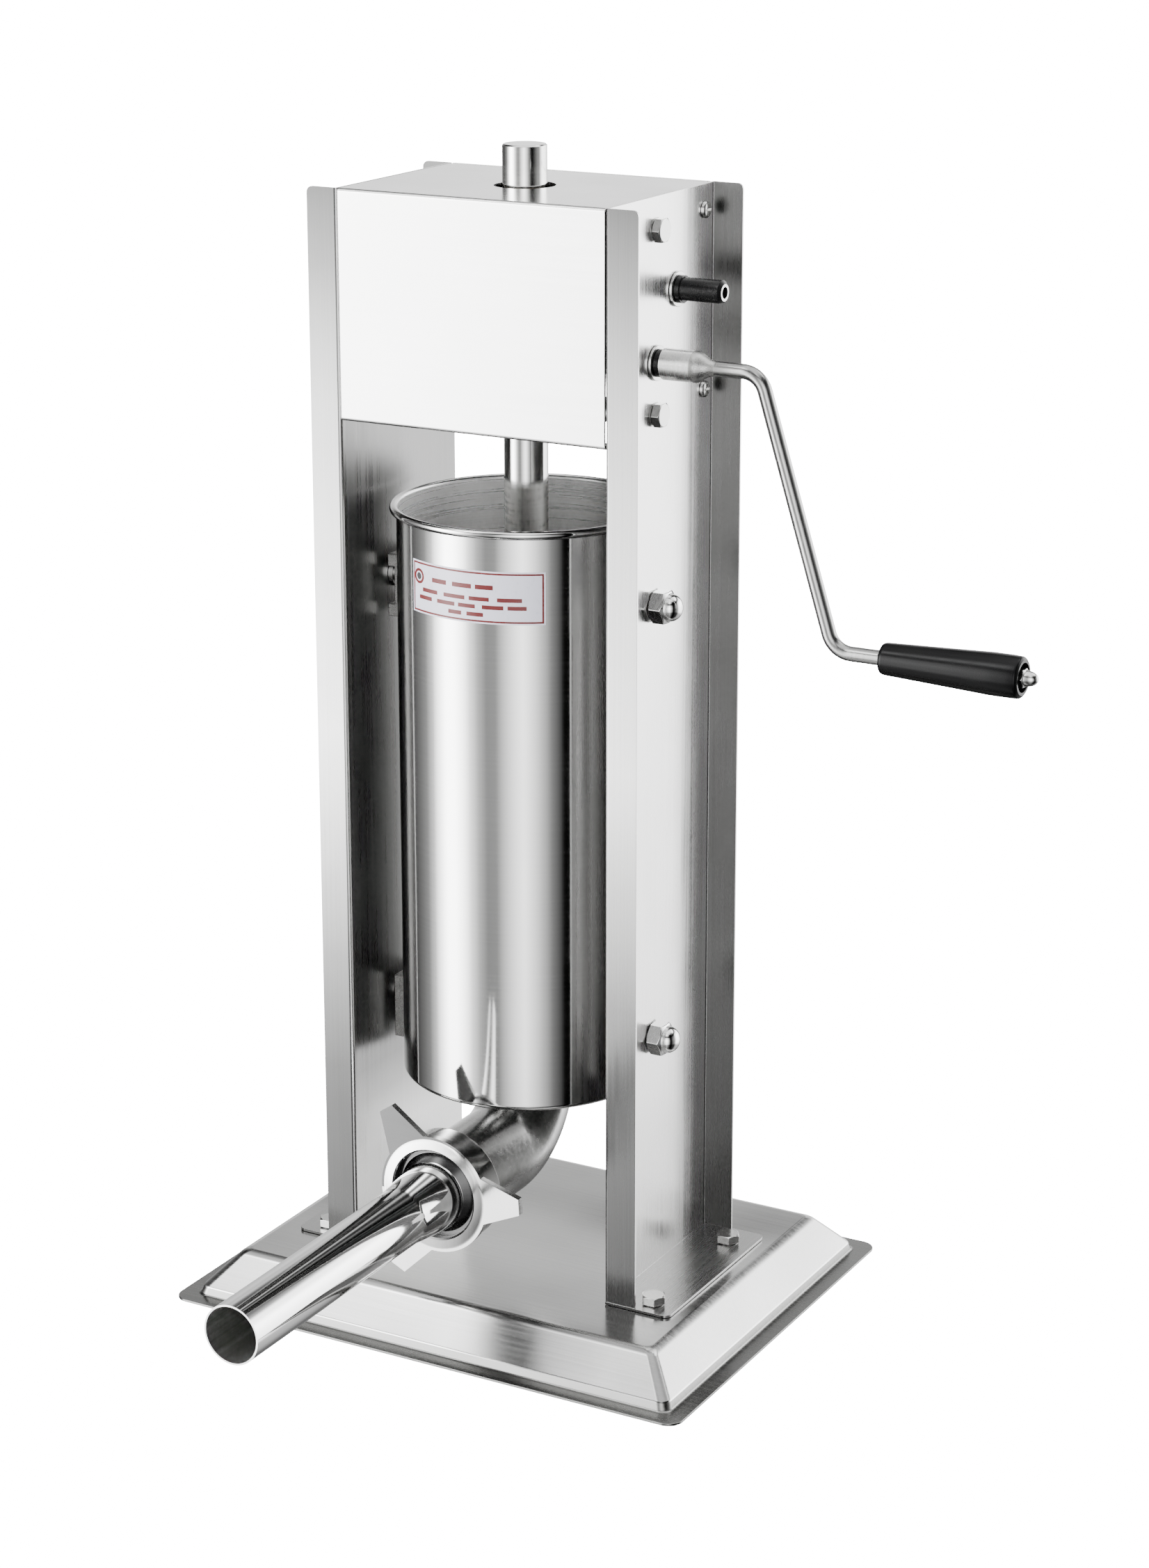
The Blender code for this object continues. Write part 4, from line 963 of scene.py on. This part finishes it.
def label():
    """A plain notice: a pale film, a thin red frame, a round mark and rows of bars that say nothing."""
    wide, bottom, top = 0.0870, 0.4290, 0.4592
    half = wide / 2
    bent_patch("label_film", film, [(-half, half)], [(bottom, top)], 0.00004)
    inset, line = 0.0009, 0.0010
    left, right = -half + inset, half - inset
    low_z, high_z = bottom + inset, top - inset
    spans = [(left, right), (left, right), (left, left + line), (right - line, right)]
    heights = [(low_z, low_z + line), (high_z - line, high_z)] + [(low_z + line, high_z - line)] * 2
    rows = [(0.0182, 0.0026, (-0.026, 0.018), 3), (0.0115, 0.0023, (-0.034, 0.033), 4)]
    rows += [(0.0070, 0.0023, (-0.037, 0.037), 5), (0.0025, 0.0023, (-0.014, 0.010), 2)]
    for rise, tall, (start, end), count in rows:
        step = (end - start) / count
        for i in range(count):
            spans.append((start + step * i, start + step * (i + 0.72 + 0.12 * (i % 2))))
            heights.append((bottom + rise + 0.0014, bottom + rise + 0.0014 + tall))
    bent_patch("label_print", red_ink, spans, heights, 0.00013, 0.00003)

    mark_at = (-half + 0.0062, top - 0.0090)
    ring_r, ring_w = 0.0044, 0.0015
    turn_at = LABEL_AT + mark_at[0] / (BORE_R + WALL)
    across = Vector((math.cos(turn_at), math.sin(turn_at), 0))
    ink, dot_r = 0.00003, 0.0020
    ring = [(ring_r, 0), (ring_r, ink), (ring_r - ring_w, ink), (ring_r - ring_w, 0)]
    dot = [(dot_r, 0), (dot_r, ink)]
    spot = across * (BORE_R + WALL + 0.00022) + Z * mark_at[1]
    marks = (("label_mark_ring", ring, True, red_ink), ("label_mark_dot", dot, False, dark_ink))
    for name, profile, hollow, finish in marks:
        data = turned(profile, 48, hollow)
        data.transform(Matrix.Translation(spot) @ across.to_track_quat("Z", "Y").to_matrix().to_4x4())
        for vertex in data.vertices:
            flat = Vector((vertex.co.x, vertex.co.y))
            rise = (vertex.co - spot).dot(across)
            away = flat.normalized() * (BORE_R + WALL + 0.00014 + rise)
            vertex.co.x, vertex.co.y = away
        piece(name, data, finish)


def brackets():
    """Hooks and rails on the tank, with a lumpy weld bead down both edges, and the shouldered pins."""
    for word, side in (("left", -1), ("right", 1)):
        beads = []
        for level in ("upper", "lower"):
            node = f"{word}_{level}_bracket"
            refined(node, weld_steel, bevel=0.0005)
            start, end = low(node), high(node)
            for edge in (start.y, end.y):
                reach = math.sqrt((BORE_R + WALL) ** 2 - edge**2)
                count = int((end.z - start.z) / 0.0032)
                for i in range(count):
                    z = start.z + 0.002 + 0.0032 * i
                    size = 0.0015 + 0.0003 * math.sin(7.3 * i + edge * 90)
                    lump = [(size * math.sin(t), size * math.cos(t)) for t in (0.25, 0.8, 1.4, 2.0, 2.6)]
                    outward = 1 if edge > COLUMN_Y else -1
                    spot = (side * (reach + 0.0004), edge + outward * 0.0003, z)
                    beads.append(placed(turned(lump, 12), spot))
            steps = [(PIN_R * 0.9, 0.0774), (PIN_R, 0.0780), (PIN_R, 0.0820), (0.0090, 0.0820)]
            steps += [(0.0090, PLATE_IN - GAP), (PIN_R, PLATE_IN - GAP)]
            steps += [(PIN_R, 0.0970), (PIN_R * 0.85, 0.0982)]
            pin = placed(turned(steps, 48), (0, COLUMN_Y, PIN_Z[level]), X * side)
            piece(f"cylinder_pin_{word}_{level}_turned", pin, bolt_steel, f"cylinder_pin_{word}_{level}")
        piece(f"{word}_bracket_welds", joined(*beads), weld_steel)


# ---- outlet --------------------------------------------------------------------------------------
def elbow_ring(radius, step, sides=72):
    """A ring of the elbow: step is 0 at the tank and 1 after the bend, and then runs straight out."""
    ring = []
    top = TANK_Z - GAP
    for i in range(sides):
        t = TURN * i / sides
        u, v = radius * math.cos(t), radius * math.sin(t)
        if step <= 1:
            turn, reach = TURN / 4 * step, ELBOW_R + v
            ring.append((u, -ELBOW_R + reach * math.cos(turn), top - reach * math.sin(turn)))
        else:
            ring.append((u, -ELBOW_R - (step - 1), top - ELBOW_R - v))
    return ring


def outlet():
    bends = [i / 28 for i in range(29)]
    collar, end = 1 - ELBOW_R + 0.0880, 1 - ELBOW_R - ELBOW_END
    rings = [elbow_ring(ELBOW_OUT + 0.0004, 0.0), elbow_ring(ELBOW_OUT, 0.012)]
    rings += [elbow_ring(ELBOW_OUT, step) for step in bends[1:]]
    rings += [elbow_ring(*pair) for pair in (
        (ELBOW_OUT, collar), (COLLAR_R - 0.0004, collar), (COLLAR_R, collar + 0.0005),
        (COLLAR_R, end - 0.0005), (COLLAR_R - 0.0005, end), (OUTLET_R, end),
    )]
    rings += [elbow_ring(OUTLET_R, step) for step in reversed(bends)]
    piece("outlet_elbow_polished", loft(rings, closed=True), elbow_steel, "outlet_elbow")

    axis_at = Vector((0, 0, OUTLET_Z))
    start, stop = low("outlet_gasket").y, high("outlet_gasket").y
    inner, outer = 0.0256, 0.0286
    gasket = [(inner, -start), (outer, -start), (outer, -stop), (inner, -stop)]
    gasket = placed(turned(gasket, 96, True, 0.0003), axis_at, -Y)
    piece("outlet_gasket_ring", gasket, rubber, "outlet_gasket")

    reach = -NOZZLE_BACK
    outer = [
        (0.0286, reach), (0.0286, reach + 0.0014), (0.0240, reach + 0.0014), (0.0184, reach + 0.0059),
        (0.0184, reach + 0.0087), (0.0208, reach + 0.0099), (0.0204, reach + 0.0132),
        (0.0170, reach + 0.0427), (0.0170, -NOZZLE_END),
    ]
    inner = [
        (0.0160, -NOZZLE_END), (0.0160, reach + 0.0425), (0.0168, reach + 0.0135), (0.0168, reach + 0.0052),
        (0.0230, reach),
    ]
    outer = rounded(outer, [0, 0.0003, 0.0008, 0.004, 0.0008, 0.0008, 0.006, 0.03, 0], 6)
    tube = placed(turned(outer + [Vector(p) for p in inner], 128, True), axis_at, -Y)
    drawn = piece("nozzle_polished", tube, mirror_steel, "nozzle", "nozzle")
    regrain(drawn, tube_steel, lambda face: math.hypot(face.center.x, face.center.z - OUTLET_Z) < 0.0164)
    # The nozzle's flange and cone inside the nut take the painted shade.
    regrain(drawn, recess_painted_shade_steel, lambda face: face.center.y > -(reach + 0.0050))
    nut = piece("wing_nut_cast", wing_nut(axis_at), nut_steel, "wing_nut", "wing_nut", 0.0005, sharp=28)

    # The nut's inner wall and the faces behind its lip take the painted shade.
    def recess(face):
        across = face.center - axis_at
        across.y = 0
        inward = across.length < 0.0290 and face.normal.dot(across) < 0
        return inward or face.center.y > NUT_FRONT + 0.0048 and across.length < 0.0292

    regrain(nut, recess_painted_shade_steel, recess)


def wing_nut(centre):
    """A three-winged union nut with rounded roots, a lip over the nozzle's flange and a skirt behind it."""
    ring_r, tip_r, half, taper = 0.0350, 0.0565, 0.0048, 0.40
    mouth_r, step = 0.0266, 0.0009
    outline = []
    for wing in range(3):
        middle_at = math.radians(4) + TURN * wing / 3
        foot = half + (tip_r - ring_r * 0.97) * taper
        root = math.asin(foot / ring_r)
        flank = [(ring_r * math.cos(root), foot), (tip_r, half)]
        points = [(flank[0][0], -flank[0][1]), (flank[1][0], -half), (flank[1][0], half), flank[0]]
        cos, sin = math.cos(middle_at), math.sin(middle_at)
        outline += [(u * cos - v * sin, u * sin + v * cos) for u, v in points]
        sweep = TURN / 3 - 2 * root
        for i in range(1, 24):
            t = middle_at + root + sweep * i / 24
            outline.append((ring_r * math.cos(t), ring_r * math.sin(t)))
    back = NUT_FRONT + 0.0050

    plate = prism([(x, centre.z + z) for x, z in outline], NUT_FRONT + step, back, "Y")
    spot = (0, NUT_FRONT, centre.z)
    skirt_r, thread_r, start, end = 0.0338, 0.0294, 0.004, 0.0195
    skirt = [(skirt_r, start), (skirt_r, end), (thread_r, end), (thread_r, start)]
    skirt = placed(turned(skirt, 96, True, 0.0003), spot, Y)
    boss = [(mouth_r - 0.0010, 0.0016), (mouth_r + 0.0010, 0), (ring_r - 0.0030, step * 0.5)]
    boss += [(ring_r - 0.0012, step + 0.0001), (ring_r - 0.0008, 0.003)]
    plate = merged(merged(plate, skirt), placed(turned(boss, 96), spot, Y))
    mouth = drill(spot, mouth_r, -0.002, 0.0060, Y, 96)
    relief = drill(spot, thread_r, 0.0050, 0.0205, Y, 96)
    return carved(carved(plate, mouth), relief)


# ---- crank ---------------------------------------------------------------------------------------
def crank():
    y, z = SLOW.y, SLOW.z
    socket, socket_end, cone_end = low("crank_arm").x, 0.1110, 0.1240
    socket_r = 0.0090
    turn_x, stud_x = 0.1506, GRIP_START - GAP - 0.0010
    route = rounded([(0.1245, z), (turn_x, z), (0.1976, ARM_Z), (stud_x, ARM_Z)], 0.014, 14)
    stub = [(0.0085, socket), (socket_r, socket + 0.0005), (socket_r, socket_end - 0.0002)]
    for i in range(1, 12):
        t = i / 11
        ease = (1 + math.cos(math.pi * t)) / 2
        lump = 0.00010 * math.sin(9 * t) * math.sin(math.pi * t)
        r = CRANK_ROD_R + (socket_r - CRANK_ROD_R) * ease**1.2 + lump
        stub.append((r, socket_end + (cone_end - socket_end) * t))
    sides = 48
    turns = [TURN * k / sides for k in range(sides)]

    def hoops(profile, height):
        return [[(x, y + r * math.cos(t), height + r * math.sin(t)) for t in turns] for r, x in profile]

    rings = hoops(stub, z)
    for i, point in enumerate(route):
        along = (route[min(i + 1, len(route) - 1)] - route[max(i - 1, 0)]).normalized()
        across = Vector((-along.y, along.x))
        ring = []
        for t in turns:
            spot = point + across * CRANK_ROD_R * math.sin(t)
            ring.append((spot.x, y + CRANK_ROD_R * math.cos(t), spot.y))
        rings.append(ring)
    collar_r, stud_r, collar_end = 0.0062, 0.0030, GRIP_START - GAP
    ends = [(0.0058, stud_x), (collar_r, stud_x + 0.0003), (collar_r, collar_end), (stud_r, collar_end)]
    ends += [(stud_r, 0.3122), (0.0026, 0.3125)]
    rings += hoops(ends, ARM_Z)
    corner = math.asin(0.0058 / (SHAFT_R + GAP))
    bore = []
    for i in range(41):
        t = -corner + (math.pi + 2 * corner) * i / 40
        bore.append((y + (SHAFT_R + GAP) * math.cos(t), z + (SHAFT_R + GAP) * math.sin(t)))
    arm = carved(loft(rings), prism(bore, socket - 0.004, high("slow_shaft").x + 0.0008, "X"))
    bent = piece("crank_arm_bent", arm, crank_steel, "crank_arm", "crank")
    regrain(bent, socket_steel, lambda face: face.center.x < socket_end)
    cone_x, cone_z = cone_end - 0.0002, ARM_Z + 0.05
    regrain(bent, weld_steel, lambda face: socket_end <= face.center.x < cone_x and face.center.z > cone_z)

    stud = Vector((0, y, ARM_Z))
    start, end = GRIP_START, GRIP_END
    profile = [
        (0.0033, start), (0.0084, start), (0.0090, start + 0.0015), (0.0107, start + 0.040),
        (0.0118, start + 0.064), (0.0118, end - 0.006), (0.0115, end - 0.0012), (0.0098, end),
        (0.0080, end), (0.0080, end - 0.0040), (0.0033, end - 0.0040),
    ]
    radii = [0, 0.0006, 0.006, 0.03, 0.012, 0.004, 0.0020, 0.0004, 0.0004, 0.0006, 0]
    grip = placed(turned(rounded(profile, radii, 8), 96, hollow=True), stud, X)
    piece("grip_moulded", grip, plastic, "grip", "grip")
    nut = placed(cap_nut(0.010, 0.0050, 0.0120, 0.0033, 0.0075), (end - 0.0037, y, ARM_Z), X)
    piece("grip_nut_domed", nut, bolt_steel, "grip_nut", "crank", 0.0002)


# ---- studio --------------------------------------------------------------------------------------
HALL = [                           # azimuth in degrees from +X, and how bright the hall is that way
    (-180, 0.15), (-170, 0.31), (-162, 0.5), (-153, 1.6), (-145, 6.2), (-137, 13.0), (-129, 13.0),
    (-121, 8.0), (-113, 2.8), (-105, 1.05), (-97, 0.49), (-88, 0.54), (-80, 1.6), (-72, 2.9), (-64, 4.2),
    (-56, 2.7), (-48, 1.3), (-39, 0.38), (-31, 0.13), (-28, 0.003), (-19, 0.003), (-8, 0.10), (20, 0.5),
    (45, 5.4), (72, 4.2), (95, 1.2), (120, 1.3), (142, 0.25), (165, 0.08), (180, 0.15),
]
STOREYS = [                        # sine of the elevation, and how bright the hall is at that height
    (-1.0, 0.05), (-0.50, 0.20), (-0.44, 0.45), (-0.37, 0.85), (-0.31, 1.0), (-0.24, 1.02), (-0.15, 1.1),
    (0.10, 1.5), (0.20, 1.5), (0.34, 1.0), (0.44, 0.9), (0.52, 0.20), (0.60, 0.06), (0.68, 0.10),
    (0.76, 0.9), (0.82, 0.9), (1.0, 0.4),
]
CEILING = (2.2, 2.2, 2.2)          # straight overhead
BACKDROP = 18.0                    # what the camera sees behind the machine and under it


def studio():
    world = bpy.data.worlds.new("studio")
    bpy.context.scene.world = world
    world.use_nodes = True
    tree = world.node_tree
    tree.nodes.clear()
    place = tree.nodes.new("ShaderNodeTexCoord").outputs["Generated"]
    split = tree.nodes.new("ShaderNodeSeparateXYZ")
    tree.links.new(place, split.inputs["Vector"])
    turn = added(tree, split.outputs["Y"], split.outputs["X"], "ARCTAN2")
    around = added(tree, added(tree, turn, math.pi), 1 / TURN, "MULTIPLY")
    ring = graded(tree, around, [((azimuth + 180) / 360, bright) for azimuth, bright in HALL])
    rise = split.outputs["Z"]
    floors = [((sine + 1) / 2, bright) for sine, bright in STOREYS]
    height = graded(tree, spread(tree, rise, 0, 1, -1, 1), floors)
    hall = blended(tree, spread(tree, rise, 0, 1, 0.80, 0.94), scaled(tree, ring, height), CEILING)
    sight = tree.nodes.new("ShaderNodeLightPath").outputs["Is Camera Ray"]
    seen = blended(tree, sight, hall, (BACKDROP,) * 3)
    background = tree.nodes.new("ShaderNodeBackground")
    tree.links.new(seen, background.inputs["Color"])
    output = tree.nodes.new("ShaderNodeOutputWorld")
    tree.links.new(background.outputs["Background"], output.inputs["Surface"])

    lamps = (("key", (-1.4, -1.5, 2.4), 1.6, 60), ("fill", (1.9, -0.6, 1.8), 1.8, 20))
    for name, spot, size, power in lamps:
        light = bpy.data.lights.new(name, "AREA")
        light.size = size
        light.energy = power
        lamp = bpy.data.objects.new(name, light)
        lamp.location = spot
        lamp.rotation_euler = (Vector(spot) - Vector((0, 0, 0.3))).to_track_quat("Z", "Y").to_euler()
        lamp.visible_glossy = False
        link(lamp)


def floor():
    """A wide pale sheet with its own faint glow, so that the ground runs out into the white hall."""
    half = 30
    bm = bmesh.new()
    corners = ((-half, -half), (half, -half), (half, half), (-half, half))
    bm.faces.new([bm.verts.new((x, y, 0)) for x, y in corners])
    data = bpy.data.meshes.new("floor")
    bm.to_mesh(data)
    bm.free()
    made = bpy.data.materials.new("floor_paper")
    made.use_nodes = True
    shader = made.node_tree.nodes["Principled BSDF"]
    shader.inputs["Base Color"].default_value = (0.85, 0.85, 0.85, 1)
    shader.inputs["Roughness"].default_value = 0.9
    shader.inputs["Specular IOR Level"].default_value = 0.1
    shader.inputs["Emission Color"].default_value = (1, 1, 1, 1)
    shader.inputs["Emission Strength"].default_value = BACKDROP
    data.materials.append(made)
    sheet = bpy.data.objects.new("floor", data)
    sheet.visible_glossy = False
    sheet.visible_diffuse = False
    link(sheet)


def camera():
    made = bpy.data.cameras.new("camera")
    made.sensor_width = 36
    made.lens = 80.33
    made.shift_y = -0.08
    made.clip_end = 100
    eye = bpy.data.objects.new("camera", made)
    yaw, pitch, roll = (math.radians(a) for a in (29.094, 15.352, -0.077))
    turn = Matrix.Rotation(yaw, 4, "Z") @ Matrix.Rotation(TURN / 4 - pitch, 4, "X")
    turn = turn @ Matrix.Rotation(roll, 4, "Z")
    eye.matrix_world = Matrix.Translation(CENTRE + Vector((0.97448, -1.69487, 0.92607))) @ turn
    link(eye)
    bpy.context.scene.camera = eye


camera()
studio()
floor()
base_pan()
base_bolts()
side_plate(-1, "left")
side_plate(1, "right")
frame_bolts()
covers()
bushes()
gears()
rack_bar()
piston_group()
tank()
label()
brackets()
outlet()
crank()
